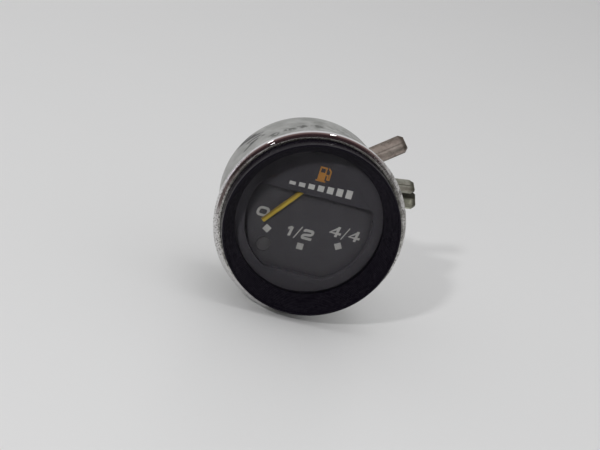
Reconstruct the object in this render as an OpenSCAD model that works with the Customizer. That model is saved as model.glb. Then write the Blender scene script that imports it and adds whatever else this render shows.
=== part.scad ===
// Panel fuel gauge with a round body, a chrome bezel and a black visor ring.
// The origin is the centre of the panel plane, which is the bezel's rear face.
// +Y points to the rear, the dial faces -Y, and +Z is the top of the dial.

/* [Body] */
// Outer diameter of the body
case_d = 52; // [50:0.1:64]
// Length from the panel plane to the outside of the rear wall
case_depth = 27.6; // [22:0.1:34]
// Sheet thickness of the body
case_wall = 0.8; // [0.6:0.05:1]
// Outside radius of the body's rear edge
case_corner_r = 1.6; // [1.2:0.1:2]
// Width of the flange at the body's mouth
case_flange_w = 1.9; // [1.7:0.1:2.5]
// Radius where the body turns into its flange
case_root_r = 0.6; // [0.3:0.1:0.6]

/* [Bezel] */
// How far the bezel reaches beyond the body's side
bezel_overlap = 2.8; // [2.8:0.05:3.6]
// Sheet thickness of the bezel
bezel_sheet = 0.6; // [0.4:0.05:0.6]
// Length of the bezel in front of the panel plane
bezel_len = 2.6; // [2.6:0.1:3.6]
// Radius of the bezel's rear edge
bezel_edge_r = 0.35; // [0.2:0.05:0.5]

/* [Visor ring] */
// How far the visor ring stands in front of the bezel
visor_proud = 5.05; // [2:0.05:6]
// How far the visor ring's side lies outside the body's radius
visor_rim = 0.8; // [0.6:0.1:1.4]
// Width of the rounded front lip
visor_lip_w = 0.7; // [0.6:0.1:1.6]
// How much narrower the visor ring is at its lip than at the bezel
visor_draft = 0.35; // [0:0.05:0.5]
// How far the throat lies inside the body's radius
throat_step = 3.6; // [2.5:0.1:6]
// Depth of the throat's front edge behind the panel plane
throat_y = -0.35; // [-0.6:0.05:3]
// Length of the straight land in the throat
throat_land = 0.5; // [0.3:0.1:1]
// Number of fine steps turned in the cone
visor_steps = 12; // [6:1:18]

/* [Glass and mask] */
// Thickness of the glass seal
seal_t = 0.3; // [0.2:0.05:0.6]
// Thickness of the front glass
glass_t = 1.3; // [1:0.1:2]
// Thickness of the ring between glass and mask
spacer_t = 0.5; // [0.4:0.1:1]
// Thickness of the mask plate
mask_t = 0.5; // [0.4:0.1:1]
// Depth of the recess between mask and scale plate
recess_depth = 1.9; // [1.9:0.1:3]
// Thickness of the wall round the recess
recess_wall = 0.6; // [0.4:0.1:1]
// Width of mask that shows round the window
mask_margin = 3.1; // [2:0.1:4]
// Height of the window's top edge above the centre
window_top = 8.1; // [6:0.1:10]
// Depth of the window's bottom edge below the centre
window_bottom = 17; // [15:0.1:18.4]
// Corner radius of the window
window_corner_r = 1.8; // [1:0.1:3]

/* [Scale] */
// Thickness of the scale plate
scale_t = 0.6; // [0.4:0.1:1]
// Height of the pointer's pivot above the centre
pivot_z = 13.9; // [12.5:0.1:14.5]
// Distance from the pivot to the middle of a scale mark
mark_r = 22.8; // [22:0.1:24]
// Angle from the half mark to an end mark
mark_angle = 29.5; // [24:0.5:32]
// Side of a square scale mark
mark_side = 2; // [1.5:0.1:3]
// Height of the numerals
numeral_h = 3.4; // [2:0.1:3.6]
// Stroke width of the numerals
numeral_stroke = 0.68; // [0.4:0.02:0.7]
// Thickness of the printing
print_t = 0.06; // [0.04:0.01:0.1]
// Height of the pump symbol
symbol_h = 4.2; // [3:0.1:5]

/* [Movement] */
// Angle of the pointer below the half mark's line when the power is off
rest_angle = 37.5; // [36:0.1:42]
// Swing of the pointer from its rest stop to its full stop
swing_angle = 70; // [66:1:74]
// Length of the pointer from pivot to tip
needle_len = 22; // [18:0.1:22.8]
// Width of the pointer
needle_w = 1.5; // [1:0.1:2]
// Thickness of the pointer
needle_t = 0.3; // [0.2:0.05:0.4]
// Diameter of the spindle's journals
journal_d = 1; // [0.8:0.1:1.2]
// Diameter of the spindle between its journals
spindle_d = 1.8; // [1.6:0.1:2.2]
// Thickness of the frame's front bridge
bridge_t = 1; // [0.8:0.1:1.4]
// Thickness of the frame's base plate
base_t = 1.2; // [1:0.1:1.6]
// Outer diameter of a coil
coil_d = 11.6; // [10:0.1:11.8]
// Length of a coil's winding
coil_len = 8.4; // [7:0.1:8.6]
// Angle between a coil and straight down
coil_angle = 45; // [44:1:46]
// Diameter of a coil's core
core_d = 3.5; // [3:0.1:4]
// Radius of the armature
armature_r = 5.6; // [5:0.1:5.8]
// Distance from the pivot to a pole face
pole_gap_r = 6.3; // [6.2:0.1:6.6]

/* [Rear fittings] */
// Distance between the two mounting studs
stud_pitch = 37; // [35:0.5:37.5]
// Diameter of a mounting stud
stud_d = 4; // [3:0.5:4]
// Length of a stud behind the rear wall
stud_len = 14; // [12:0.5:20]
// Length of the plain pilot at a stud's free end
stud_pilot_len = 4; // [2:0.5:6]
// Outer diameter of a knurled nut
nut_d = 8.8; // [8:0.1:9.2]
// Height of a knurled nut
nut_h = 3.5; // [3:0.1:5]
// Diameter of a lamp holder's barrel
lamp_d = 9.9; // [9:0.1:10.4]
// Diameter of a lamp holder's flange
lamp_flange_d = 13.6; // [12.6:0.1:13.8]
// Width of a blade terminal
blade_w = 6.3; // [4.8:0.1:6.3]
// Thickness of a blade terminal
blade_t = 0.8; // [0.5:0.05:0.8]
// Thickness of the terminal board
board_t = 1.5; // [1:0.1:2]

/* [Clearances] */
// Radial clearance of a turning or sliding fit
running_gap = 0.05; // [0.02:0.01:0.08]
// Gap round pieces that are only dropped in
loose_gap = 0.2; // [0.1:0.05:0.4]
// Gap between a moving piece and its stop
stop_gap = 0.3; // [0.2:0.05:0.5]

/* [Hidden] */
$fn = 96;
eps = 0.01;
over = 1;

// Radii of the body and of what closes its mouth
case_r = case_d / 2;
case_inner_r = case_r - case_wall;
flange_r = case_r + case_flange_w;
bezel_r = case_r + bezel_overlap;
visor_r = case_r + visor_rim;
throat_r = case_r - throat_step;
glass_r = case_inner_r - loose_gap;
window_r = throat_r - mask_margin;
scale_step = 1.7;
scale_r = case_inner_r - scale_step;

// Planes from the front to the rear
bezel_front = -bezel_len;
flange_rear = -bezel_sheet;
flange_front = flange_rear - case_wall;
visor_front = bezel_front - visor_proud;
seal_front = throat_y + throat_land;
glass_front = seal_front + seal_t;
spacer_front = glass_front + glass_t;
mask_front = spacer_front + spacer_t;
mask_rear = mask_front + mask_t;
scale_front = mask_rear + recess_depth;
bridge_front = scale_front + scale_t;
bridge_rear = bridge_front + bridge_t;
rear_outer = case_depth;
rear_inner = rear_outer - case_wall;
base_front = rear_inner - base_t;
coil_y = (bridge_rear + base_front) / 2;

// Bezel section: its front lip, its flat land, and the round that joins them to the side
bezel_lip_r = visor_r + running_gap;
bezel_land = 0.35;
bezel_round_r = bezel_r - bezel_lip_r - bezel_land;
curl_r = case_r + case_root_r + running_gap;

// Visor section: the shoulder that the bezel holds down
shoulder_r = flange_r - running_gap;
shoulder_rear = flange_front;
shoulder_front = bezel_front + bezel_sheet + running_gap;
lip_r = visor_lip_w / 2;
lip_land = 0.2;
shoulder_edge_t = 0.15;
shoulder_top_w = 0.3;

// Width of the seat that the throat gives the seal
seal_step = 0.6;

// Spindle and its bearings
journal_r = journal_d / 2;
spindle_r = spindle_d / 2;
bush_r = 1.9;
bush_bore_r = journal_r + running_gap;
bush_nose = 0.4;
bush_tail = 0.8;
bush_front = bridge_front - bush_nose;
bush_rear = bridge_rear + bush_tail;
end_play = 0.15;
rear_bush_r = 2.2;
rear_bush_len = 3.3;
rear_bush_front = base_front - rear_bush_len;
rear_bush_hole = 1.5;
rear_bush_stem_r = 1.5;
bush_nut_t = 1.3;
bush_nut_r = 3.6;
scale_hole_gap = 0.7;

// Pointer and its hub
needle_lift = 0.9;
hub_nose = 0.3;
needle_rear = scale_front - needle_lift;
needle_front = needle_rear - needle_t;
hub_front = needle_front - hub_nose;
hub_rear = bush_front - stop_gap;
hub_r = 2;
hub_neck_r = 1.2;

// Counterweight on its arm, and the stop pins at the arm's two limits
arm_lift = 1.4;
arm_front = bridge_rear + arm_lift;
arm_t = 0.6;
arm_w = 1.2;
weight_reach = 6.5;
weight_r = 1.5;
weight_len = 2.4;
weight_nose = 0.4;
stop_pin_r = 0.6;
stop_pin_over = 0.6;
stop_reach = 4.5;
stop_lead = asin((arm_w / 2 + stop_gap + stop_pin_r) / stop_reach);
stop_angles = [rest_angle + stop_lead, rest_angle - swing_angle - stop_lead];

// Armature, cut from a disc with a short tail past the spindle
armature_t = 1.2;
armature_w = 3.4;
armature_tail = 3;

// Coils, seen along their own axis away from the pivot
coil_r = coil_d / 2;
core_r = core_d / 2;
pole_t = 1.1;
pole_r = 3.4;
bobbin_flange_t = 0.8;
bobbin_flange_step = 0.5;
bobbin_tube_t = 0.85;
bobbin_flange_r = coil_r + bobbin_flange_step;
bobbin_tube_r = core_r + bobbin_tube_t;
bobbin_start = pole_gap_r + pole_t;
winding_start = bobbin_start + bobbin_flange_t;
winding_end = winding_start + coil_len;
bobbin_end = winding_end + bobbin_flange_t;
ear_t = 1.2;
ear_half_w = 3.2;
ear_reach = 3.5;
lead_w = 0.5;
lead_t = 0.45;
lead_bend_r = 0.3;
lead_across = 1.7;
lead_sender_out = 2;
lead_supply_out = 1.5;
lead_supply_back = 1;
lead_lamp_gap = 0.9;
lead_lamp_run = [-3, 5];

// Frame outline, pillars and dial screws
base_half_w = 15.5;
base_upper_half_w = 12;
base_step_z = 8;
base_low_z = -3.6;
tongue_half_w = 4;
tongue_over = 3;
frame_r = case_inner_r - case_corner_r;
pillar_r = 1.8;
pillar_stub_r = 1;
pillar_x = 10;
pillar_z = 18.5;
bridge_half_w = 13;
bridge_low_z = 10.6;
dial_screw_x = 8.8;
dial_screw_z = 12.8;
dial_screw_r = 0.8;
dial_head_r = 1.8;
dial_head_h = 1;
dial_head_edge = 0.3;
dial_slot_w = 0.4;
dial_slot_t = 0.4;
dial_screw_tail = 0.8;

// Lamps: the dial lamp lights the recess, the reserve lamp lights the lens
dial_lamp_at = [12, -10];
reserve_lamp_at = [-10.9, -10.9];
lens_r = 2.2;
lens_edge = 0.3;
lens_flange_r = 3.2;
lens_proud = 0.25;
lens_flange_t = 0.4;
tube_r = 4.6;
tube_wall = 0.5;
tube_gap = 1;
lamp_r = lamp_d / 2;
lamp_hole_r = lamp_r + running_gap;
lamp_flange_r = lamp_flange_d / 2;
lamp_flange_t = 1;
lamp_grip = 6.1;
lamp_bore_r = 3.6;
lamp_slit_w = 0.8;
lamp_slit_len = 5;
lamp_nose_step = 0.3;
lamp_nose_len = 0.6;
plug_r = lamp_bore_r - running_gap;
plug_boss_r = 5;
plug_boss_t = 2;
bulb_r = 3.45;
bulb_cap_len = 7.4;
bulb_glass_r = 3.05;
bulb_glass_len = 6.9;
bulb_glass_t = 0.5;
contact_r = 1.2;
contact_head_r = 1.8;
contact_head_t = 0.8;
contact_collar_t = 0.6;
bulb_gap = 0.3;
bulb_tip = bridge_front + lens_flange_t + bulb_gap;
cap_front = bulb_tip + bulb_glass_len;
cap_rear = cap_front + bulb_cap_len;
barrel_front = cap_rear - lamp_grip;
plug_front = cap_rear + contact_head_t;
lamp_blade_len = 8;

// Studs, washers and nuts
stud_r = stud_d / 2;
stud_gap = 0.1;
stud_edge = 0.5;
stud_pilot_step = 0.2;
stud_hole_r = stud_r + stud_gap;
washer_r = 4.2;
washer_t = 0.8;
lock_washer_r = 3.6;
lock_washer_slit = 0.8;
nut_r = nut_d / 2;
nut_gap = 0.1;
nut_edge = 0.4;
nut_front = rear_outer + 2 * washer_t + nut_gap;
nut_flutes = 24;
flute_r = 0.3;
flute_out = 0.05;

// Terminals: [direction, offset of the bend line, tilt, reach, foot start, foot width]
sender_spec = [39.1, -0.1, 51.9, 36.8, 19.5, 4.4];
supply_spec = [8, 5.4, 72, 36.1, 16.8, 4.3];
earth_spec = [8, 0.1, 50.9, 37.1, 16.8, 4.8];
terminal_specs = [sender_spec, supply_spec, earth_spec];
foot_end = 23.6;
blade_tip_cut = 1.3;
blade_root = 0.3;
board_front = rear_outer;
board_rear = board_front + board_t;
board_in_r = 15.3;
board_out_r = case_r - case_corner_r;
board_angles = [-12, 48];
insulator_t = 1;
insulator_in_r = 17.8;
insulator_angles = [-11, 42];
rivet_r = 1;
rivet_hole_r = rivet_r + running_gap;
rivet_head_r = 1.6;
rivet_head_t = 0.7;
rivet_edge = 0.4;
boss_hole_r = 1.9;
boss_r = boss_hole_r - running_gap;

// Numerals and symbols, placed by their middles as seen from the front
numeral_corner_r = 0.9;
zero_at = [-13.6, -1];
half_at = [-1.2, -4.75];
full_at = [12.2, -1.65];
symbol_at = [0.1, 15.4];
bars_at = [0.5, 11.2];
bar_count = 7;
bar_pitch = 2.9;
bar_w = 1.9;
bar_low = 1;
bar_high = 2.6;

// Points along an arc, from angle a0 to a1
function arc(middle, radius, a0, a1, steps = 12) =
    [
        for (i = [0:steps])
            let (angle = a0 + (a1 - a0) * i / steps)
            middle + radius * [cos(angle), sin(angle)]
    ];

// Place of a point given along a direction and across it
function along(direction, reach, side) =
    [reach * cos(direction) - side * sin(direction), reach * sin(direction) + side * cos(direction)];

// Middle of a terminal's rivet
function rivet_at(spec) = along(spec[0], (spec[4] + foot_end) / 2, spec[1] - spec[5] / 2);

// Outline of the mask's window: a circle cut flat at the top and the bottom
function window_outline(grow) =
    let (
        radius = window_r + grow,
        corner = window_corner_r + grow,
        top = window_top + grow - corner,
        bottom = -window_bottom - grow + corner,
        top_x = sqrt(pow(radius - corner, 2) - top * top),
        bottom_x = sqrt(pow(radius - corner, 2) - bottom * bottom),
        top_a = atan2(top, top_x),
        bottom_a = atan2(bottom, bottom_x)
    )
    concat(
        arc([0, 0], radius, bottom_a, top_a, 24),
        arc([top_x, top], corner, top_a, 90, 6),
        arc([-top_x, top], corner, 90, 180 - top_a, 6),
        arc([0, 0], radius, 180 - top_a, 180 - bottom_a, 24),
        arc([-bottom_x, bottom], corner, 180 - bottom_a, 270, 6),
        arc([bottom_x, bottom], corner, 270, 360 + bottom_a, 6)
    );

// Outline of a ring sector between two angles
function sector_outline(inner, outer, angles) =
    concat(arc([0, 0], outer, angles[0], angles[1], 24), arc([0, 0], inner, angles[1], angles[0], 24));

// A flat piece drawn as seen from the front, from plane front to front + thickness
module plate(front, thickness) {
    translate([0, front + thickness, 0])
        rotate([90, 0, 0])
            linear_extrude(height = thickness)
                children();
}

// A turned piece about the Y axis through [x, z], from points [radius, y]
module turned(points, at = [0, 0]) {
    translate([at[0], 0, at[1]])
        rotate([-90, 0, 0])
            rotate_extrude()
                polygon(points);
}

// A round bar along Y
module bar(radius, front, rear, at = [0, 0]) {
    turned([[0, front], [radius, front], [radius, rear], [0, rear]], at);
}

// A tube along Y
module tube(outer, inner, front, rear, at = [0, 0]) {
    turned([[inner, front], [outer, front], [outer, rear], [inner, rear]], at);
}

// Puts a piece drawn along +Z on a coil's axis; side is -1 for the left coil
module on_coil(side) {
    translate([0, coil_y, pivot_z])
        rotate([0, side * (180 - coil_angle), 0])
            children();
}

// Turns a piece drawn with the pointer straight down to the rest position
module at_rest() {
    translate([0, 0, pivot_z])
        rotate([0, rest_angle, 0])
            children();
}

// A stroke of even width between two points
module stroke(a, b, width) {
    span = b - a;
    translate(a)
        rotate(atan2(span[1], span[0]))
            translate([0, -width / 2])
                square([norm(span), width]);
}

// Body and front

module case_can() {
    inner_corner = case_corner_r - case_wall;
    color("lightgray")
        difference() {
            turned(concat(
                [[case_inner_r, flange_front], [flange_r, flange_front], [flange_r, flange_rear]],
                arc([case_r + case_root_r, flange_rear + case_root_r], case_root_r, 270, 180, 6),
                arc([case_r - case_corner_r, rear_outer - case_corner_r], case_corner_r, 0, 90),
                [[0, rear_outer], [0, rear_inner]],
                arc([case_inner_r - inner_corner, rear_inner - inner_corner], inner_corner, 90, 0)
            ));
            for (side = [-1, 1])
                bar(stud_hole_r, rear_inner - over, rear_outer + over, [0, side * stud_pitch / 2]);
            for (at = [dial_lamp_at, reserve_lamp_at])
                bar(lamp_hole_r, rear_inner - over, rear_outer + over, at);
            for (spec = terminal_specs)
                bar(boss_hole_r, rear_inner - over, rear_outer + over, rivet_at(spec));
        }
}

module bezel() {
    middle = [bezel_lip_r + bezel_land, bezel_front + bezel_round_r];
    color("silver")
        turned(concat(
            [[bezel_lip_r, bezel_front]],
            arc(middle, bezel_round_r, 270, 360, 16),
            arc([bezel_r - bezel_edge_r, -bezel_edge_r], bezel_edge_r, 0, 90, 6),
            [[curl_r, 0], [curl_r, flange_rear], [flange_r + running_gap, flange_rear]],
            arc(middle, bezel_round_r - bezel_sheet, 360, 270, 12),
            [[bezel_lip_r, bezel_front + bezel_sheet]]
        ));
}

module visor_ring() {
    cone_front = visor_front + lip_r + lip_land;
    rim_r = visor_r - visor_draft;
    cone_r = rim_r - visor_lip_w;
    step_r = (cone_r - throat_r) / visor_steps;
    step_y = (throat_y - cone_front) / visor_steps;
    stairs = [
        for (i = [0:visor_steps - 1])
            for (turn = [0, 1])
                [cone_r - i * step_r, cone_front + (i + turn) * step_y]
    ];
    color("#161618")
        turned(concat(
            [[glass_r, seal_front], [glass_r, shoulder_rear], [shoulder_r, shoulder_rear]],
            [[shoulder_r, shoulder_rear - shoulder_edge_t], [visor_r + shoulder_top_w, shoulder_front]],
            [[visor_r, shoulder_front]],
            arc([rim_r - lip_r, visor_front + lip_r], lip_r, 360, 180, 16),
            stairs,
            [[throat_r, throat_y], [throat_r, seal_front]]
        ));
}

module glass_seal() {
    color("#222222")
        tube(glass_r, throat_r + seal_step, seal_front, glass_front);
}

module front_glass() {
    color("#c8d4dc66")
        bar(glass_r, glass_front, spacer_front);
}

module spacer_ring() {
    color("#3a3a3c")
        tube(glass_r, throat_r, spacer_front, mask_front);
}

module mask_plate() {
    color("#3b3c3f")
        union() {
            plate(mask_front, mask_t)
                difference() {
                    circle(r = glass_r);
                    polygon(window_outline(0));
                }
            plate(mask_rear - eps, recess_depth + eps)
                intersection() {
                    difference() {
                        polygon(window_outline(recess_wall));
                        polygon(window_outline(0));
                    }
                    translate([-case_r, -case_r])
                        square([case_d, case_r + window_top - 2 * window_corner_r]);
                }
        }
}

module pump_symbol() {
    body_w = symbol_h * 0.52;
    half = symbol_h / 2;
    line = symbol_h * 0.1;
    hose_x = body_w / 2 + symbol_h * 0.3;
    riser_x = hose_x - symbol_h * 0.14;
    hose_low = -half * 0.7;
    tap_z = -half * 0.1;
    color("#b9772a")
        plate(mask_front - print_t, print_t)
            translate(symbol_at - [symbol_h * 0.12, 0]) {
                difference() {
                    translate([-body_w / 2, -half])
                        square([body_w, symbol_h]);
                    translate([-body_w / 2 + line, half - symbol_h * 0.42])
                        square([body_w - 2 * line, symbol_h * 0.3]);
                }
                translate([-body_w / 2 - line, -half - line])
                    square([body_w + 2 * line, line]);
                stroke([body_w / 2, tap_z], [riser_x, tap_z], line);
                stroke([riser_x, tap_z + line / 2], [riser_x, hose_low], line);
                stroke([riser_x - line / 2, hose_low], [hose_x + line / 2, hose_low], line);
                stroke([hose_x, hose_low], [hose_x, half * 0.5], line);
                stroke([hose_x + line * 0.35, half * 0.45], [body_w / 2 + symbol_h * 0.1, half * 0.95], line);
            }
}

module level_bars() {
    color("#c9c9c6")
        plate(mask_front - print_t, print_t)
            for (i = [0:bar_count - 1]) {
                bar_h = bar_low + (bar_high - bar_low) * i / (bar_count - 1);
                translate(bars_at + [(i - (bar_count - 1) / 2) * bar_pitch - bar_w / 2, -bar_high / 2])
                    square([bar_w, bar_h]);
            }
}

// Scale

module scale_plate() {
    color("#35373a")
        plate(scale_front, scale_t)
            difference() {
                circle(r = scale_r);
                translate([0, pivot_z])
                    circle(r = bush_r + scale_hole_gap);
                translate(reserve_lamp_at)
                    circle(r = lens_r + running_gap);
                for (side = [-1, 1])
                    translate([side * dial_screw_x, dial_screw_z])
                        circle(r = dial_screw_r + running_gap);
            }
}

module scale_marks() {
    color("#c9c9c6")
        plate(scale_front - print_t, print_t)
            for (angle = [-mark_angle, 0, mark_angle])
                translate([0, pivot_z])
                    rotate(angle)
                        translate([-mark_side / 2, -mark_r - mark_side / 2])
                            square(mark_side);
}

// A box with round corners
module round_box(width, height, radius) {
    x = width / 2 - radius;
    y = height / 2 - radius;
    polygon(concat(
        arc([x, y], radius, 0, 90, 6),
        arc([-x, y], radius, 90, 180, 6),
        arc([-x, -y], radius, 180, 270, 6),
        arc([x, -y], radius, 270, 360, 6)
    ));
}

// A plain square-shouldered nought
module nought(width, height, line) {
    difference() {
        round_box(width, height, numeral_corner_r);
        round_box(width - 2 * line, height - 2 * line, numeral_corner_r - line / 2);
    }
}

module figure_one(height, line) {
    stroke([0, -height / 2], [0, height / 2], line);
    stroke([line * 0.3, height / 2 - line / 2], [-line * 1.6, height / 2 - line * 1.5], line * 0.9);
}

module figure_two(width, height, line) {
    half_w = (width - line) / 2;
    half_h = (height - line) / 2;
    stroke([-half_w - line / 2, half_h], [half_w + line / 2, half_h], line);
    stroke([half_w, half_h], [half_w, 0], line);
    stroke([half_w + line / 2, 0], [-half_w - line / 2, 0], line);
    stroke([-half_w, 0], [-half_w, -half_h], line);
    stroke([-half_w - line / 2, -half_h], [half_w + line / 2, -half_h], line);
}

module figure_four(width, height, line) {
    half_w = width / 2;
    bar_z = -height * 0.2;
    stem_x = width * 0.22;
    stroke([stem_x, -height / 2], [stem_x, height / 2], line);
    stroke([-half_w, bar_z], [half_w, bar_z], line);
    stroke([stem_x, height / 2 - line / 2], [line / 2 - half_w, bar_z], line);
}

module slash(height, line) {
    stroke([-height * 0.24, -height * 0.54], [height * 0.24, height * 0.54], line * 0.8);
}

module scale_numerals() {
    line = numeral_stroke;
    wide = numeral_h * 1.02;
    color("#c9c9c6")
        plate(scale_front - print_t, print_t) {
            translate(zero_at)
                nought(numeral_h * 1.25, numeral_h, line);
            translate(half_at) {
                translate([-numeral_h * 0.84, 0])
                    figure_one(numeral_h, line);
                translate([-numeral_h * 0.32, 0])
                    slash(numeral_h, line);
                translate([numeral_h * 0.66, 0])
                    figure_two(wide, numeral_h, line);
            }
            translate(full_at) {
                translate([-numeral_h * 0.9, 0])
                    figure_four(wide, numeral_h, line);
                slash(numeral_h, line);
                translate([numeral_h * 0.9, 0])
                    figure_four(wide, numeral_h, line);
            }
        }
}

module reserve_lens() {
    lens_front = scale_front - lens_proud;
    lens_rear = bridge_front + lens_flange_t;
    color("#4a2c28")
        turned([
            [0, lens_front], [lens_r - lens_edge, lens_front], [lens_r, scale_front], [lens_r, bridge_front],
            [lens_flange_r, bridge_front], [lens_flange_r, lens_rear], [0, lens_rear]
        ], reserve_lamp_at);
}

module light_tube() {
    color("#e4e0d6")
        tube(tube_r, tube_r - tube_wall, bridge_front, barrel_front - tube_gap, reserve_lamp_at);
}

// Movement frame

module base_plate() {
    stud_z = stud_pitch / 2;
    color("#9a9c9e")
        union() {
            plate(base_front, base_t)
                difference() {
                    intersection() {
                        circle(r = frame_r);
                        union() {
                            translate([-base_half_w, base_low_z])
                                square([2 * base_half_w, base_step_z - base_low_z]);
                            translate([-base_upper_half_w, 0])
                                square([2 * base_upper_half_w, case_r]);
                            translate([-tongue_half_w, -stud_z - tongue_over])
                                square([2 * tongue_half_w, stud_z + tongue_over]);
                        }
                    }
                    translate([0, pivot_z])
                        circle(r = rear_bush_stem_r);
                    for (side = [-1, 1])
                        translate([0, side * stud_z])
                            circle(r = stud_r);
                    for (side = [-1, 1])
                        translate([side * pillar_x, pillar_z])
                            circle(r = pillar_stub_r);
                }
            for (side = [-1, 1])
                on_coil(side)
                    difference() {
                        translate([-ear_half_w, -ear_reach, bobbin_end])
                            cube([2 * ear_half_w, ear_reach + base_front - coil_y + eps, ear_t]);
                        cylinder(r = core_r, h = 3 * bobbin_end, center = true);
                    }
        }
}

module frame_pillars() {
    color("#b39b57")
        for (side = [-1, 1])
            turned([
                [0, bridge_front], [pillar_stub_r, bridge_front], [pillar_stub_r, bridge_rear],
                [pillar_r, bridge_rear], [pillar_r, base_front], [pillar_stub_r, base_front],
                [pillar_stub_r, rear_inner], [0, rear_inner]
            ], [side * pillar_x, pillar_z]);
}

module front_bridge() {
    color("#9a9c9e")
        plate(bridge_front, bridge_t)
            difference() {
                intersection() {
                    circle(r = scale_r);
                    translate([-bridge_half_w, bridge_low_z])
                        square([2 * bridge_half_w, case_r]);
                }
                translate([0, pivot_z])
                    circle(r = bush_r);
                for (side = [-1, 1])
                    translate([side * pillar_x, pillar_z])
                        circle(r = pillar_stub_r);
                for (side = [-1, 1])
                    translate([side * dial_screw_x, dial_screw_z])
                        circle(r = dial_screw_r);
            }
}

module dial_screws() {
    head_front = scale_front - dial_head_h;
    screw_rear = bridge_rear + dial_screw_tail;
    color("#b8babd")
        for (side = [-1, 1])
            difference() {
                turned([
                    [0, head_front], [dial_head_r - dial_head_edge, head_front],
                    [dial_head_r, head_front + dial_head_edge],
                    [dial_head_r, scale_front], [dial_screw_r, scale_front], [dial_screw_r, screw_rear],
                    [0, screw_rear]
                ], [side * dial_screw_x, dial_screw_z]);
                translate([side * dial_screw_x, head_front - over, dial_screw_z])
                    translate([-dial_head_r, 0, -dial_slot_w / 2])
                        cube([2 * dial_head_r, over + dial_slot_t, dial_slot_w]);
            }
}

module front_bush() {
    color("#c2a34f")
        tube(bush_r, bush_bore_r, bush_front, bush_rear, [0, pivot_z]);
}

module rear_bush() {
    color("#c2a34f")
        turned([
            [bush_bore_r, rear_bush_front], [rear_bush_r, rear_bush_front], [rear_bush_r, base_front],
            [rear_bush_stem_r, base_front], [rear_bush_stem_r, rear_inner], [0, rear_inner],
            [0, rear_bush_front + rear_bush_hole], [bush_bore_r, rear_bush_front + rear_bush_hole]
        ], [0, pivot_z]);
}

module bush_nut() {
    color("#c2a34f")
        plate(base_front - bush_nut_t, bush_nut_t)
            translate([0, pivot_z])
                difference() {
                    circle(r = bush_nut_r, $fn = 6);
                    circle(r = rear_bush_r);
                }
}

module stop_pins() {
    color("#b8babd")
        for (angle = stop_angles)
            bar(
                stop_pin_r, bridge_rear, arm_front + arm_t + stop_pin_over,
                [stop_reach * sin(angle), pivot_z + stop_reach * cos(angle)]
            );
}

// Coils

module bobbin(side) {
    color("#d8d2c0")
        on_coil(side)
            rotate_extrude()
                polygon([
                    [core_r + running_gap, bobbin_start], [bobbin_flange_r, bobbin_start],
                    [bobbin_flange_r, winding_start], [bobbin_tube_r, winding_start],
                    [bobbin_tube_r, winding_end], [bobbin_flange_r, winding_end],
                    [bobbin_flange_r, bobbin_end], [core_r + running_gap, bobbin_end]
                ]);
}

module winding(side) {
    color("#9c5a2c")
        on_coil(side)
            difference() {
                translate([0, 0, winding_start])
                    cylinder(r = coil_r, h = coil_len);
                translate([0, 0, winding_start - over])
                    cylinder(r = bobbin_tube_r, h = coil_len + 2 * over);
            }
}

module core(side) {
    color("#85878a")
        on_coil(side)
            rotate_extrude()
                polygon([
                    [0, pole_gap_r], [pole_r, pole_gap_r], [pole_r, bobbin_start],
                    [core_r, bobbin_start], [core_r, bobbin_end + ear_t], [0, bobbin_end + ear_t]
                ]);
}

module bobbin_left() { bobbin(-1); }
module bobbin_right() { bobbin(1); }
module winding_left() { winding(-1); }
module winding_right() { winding(1); }
module core_left() { core(-1); }
module core_right() { core(1); }

// A point behind a coil, given along the coil's axis and across it
function behind_coil(side, reach, across) = [
    side * (reach * sin(coil_angle) + across * cos(coil_angle)),
    pivot_z - reach * cos(coil_angle) + across * sin(coil_angle)
];

// A lead that lies flat against the rivet heads, through the given points
module lead(points) {
    rivet_face = rear_inner - insulator_t - rivet_head_t;
    plate(rivet_face - lead_t, lead_t) {
        for (i = [0:len(points) - 2])
            stroke(points[i], points[i + 1], lead_w);
        for (i = [1:len(points) - 2])
            translate(points[i])
                circle(r = lead_bend_r);
    }
}

module coil_leads() {
    third = coil_len / 3;
    over_lamp_z = dial_lamp_at[1] + lamp_r + lead_lamp_gap;
    color("#b5562e") {
        lead([
            behind_coil(1, winding_start + third, lead_across),
            behind_coil(1, winding_start + coil_len / 2, coil_r + lead_sender_out),
            rivet_at(sender_spec)
        ]);
        lead([
            behind_coil(1, winding_end - third, lead_across),
            behind_coil(1, winding_end - lead_supply_back, coil_r + lead_supply_out),
            rivet_at(supply_spec)
        ]);
        lead([
            behind_coil(-1, winding_start + coil_len / 2, -lead_across), [0, 0],
            [dial_lamp_at[0] + lead_lamp_run[0], over_lamp_z],
            [dial_lamp_at[0] + lead_lamp_run[1], over_lamp_z],
            rivet_at(earth_spec)
        ]);
    }
}

// Terminals

module inner_insulator() {
    color("#6b4526")
        difference() {
            union() {
                plate(rear_inner - insulator_t, insulator_t)
                    polygon(sector_outline(insulator_in_r, frame_r, insulator_angles));
                for (spec = terminal_specs)
                    bar(boss_r, rear_inner - eps, rear_outer, rivet_at(spec));
            }
            for (spec = terminal_specs)
                bar(rivet_hole_r, rear_inner - insulator_t - over, rear_outer + over, rivet_at(spec));
        }
}

module terminal_board() {
    color("#6b4526")
        plate(board_front, board_t)
            difference() {
                polygon(sector_outline(board_in_r, board_out_r, board_angles));
                for (spec = terminal_specs)
                    translate(rivet_at(spec))
                        circle(r = rivet_hole_r);
            }
}

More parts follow.
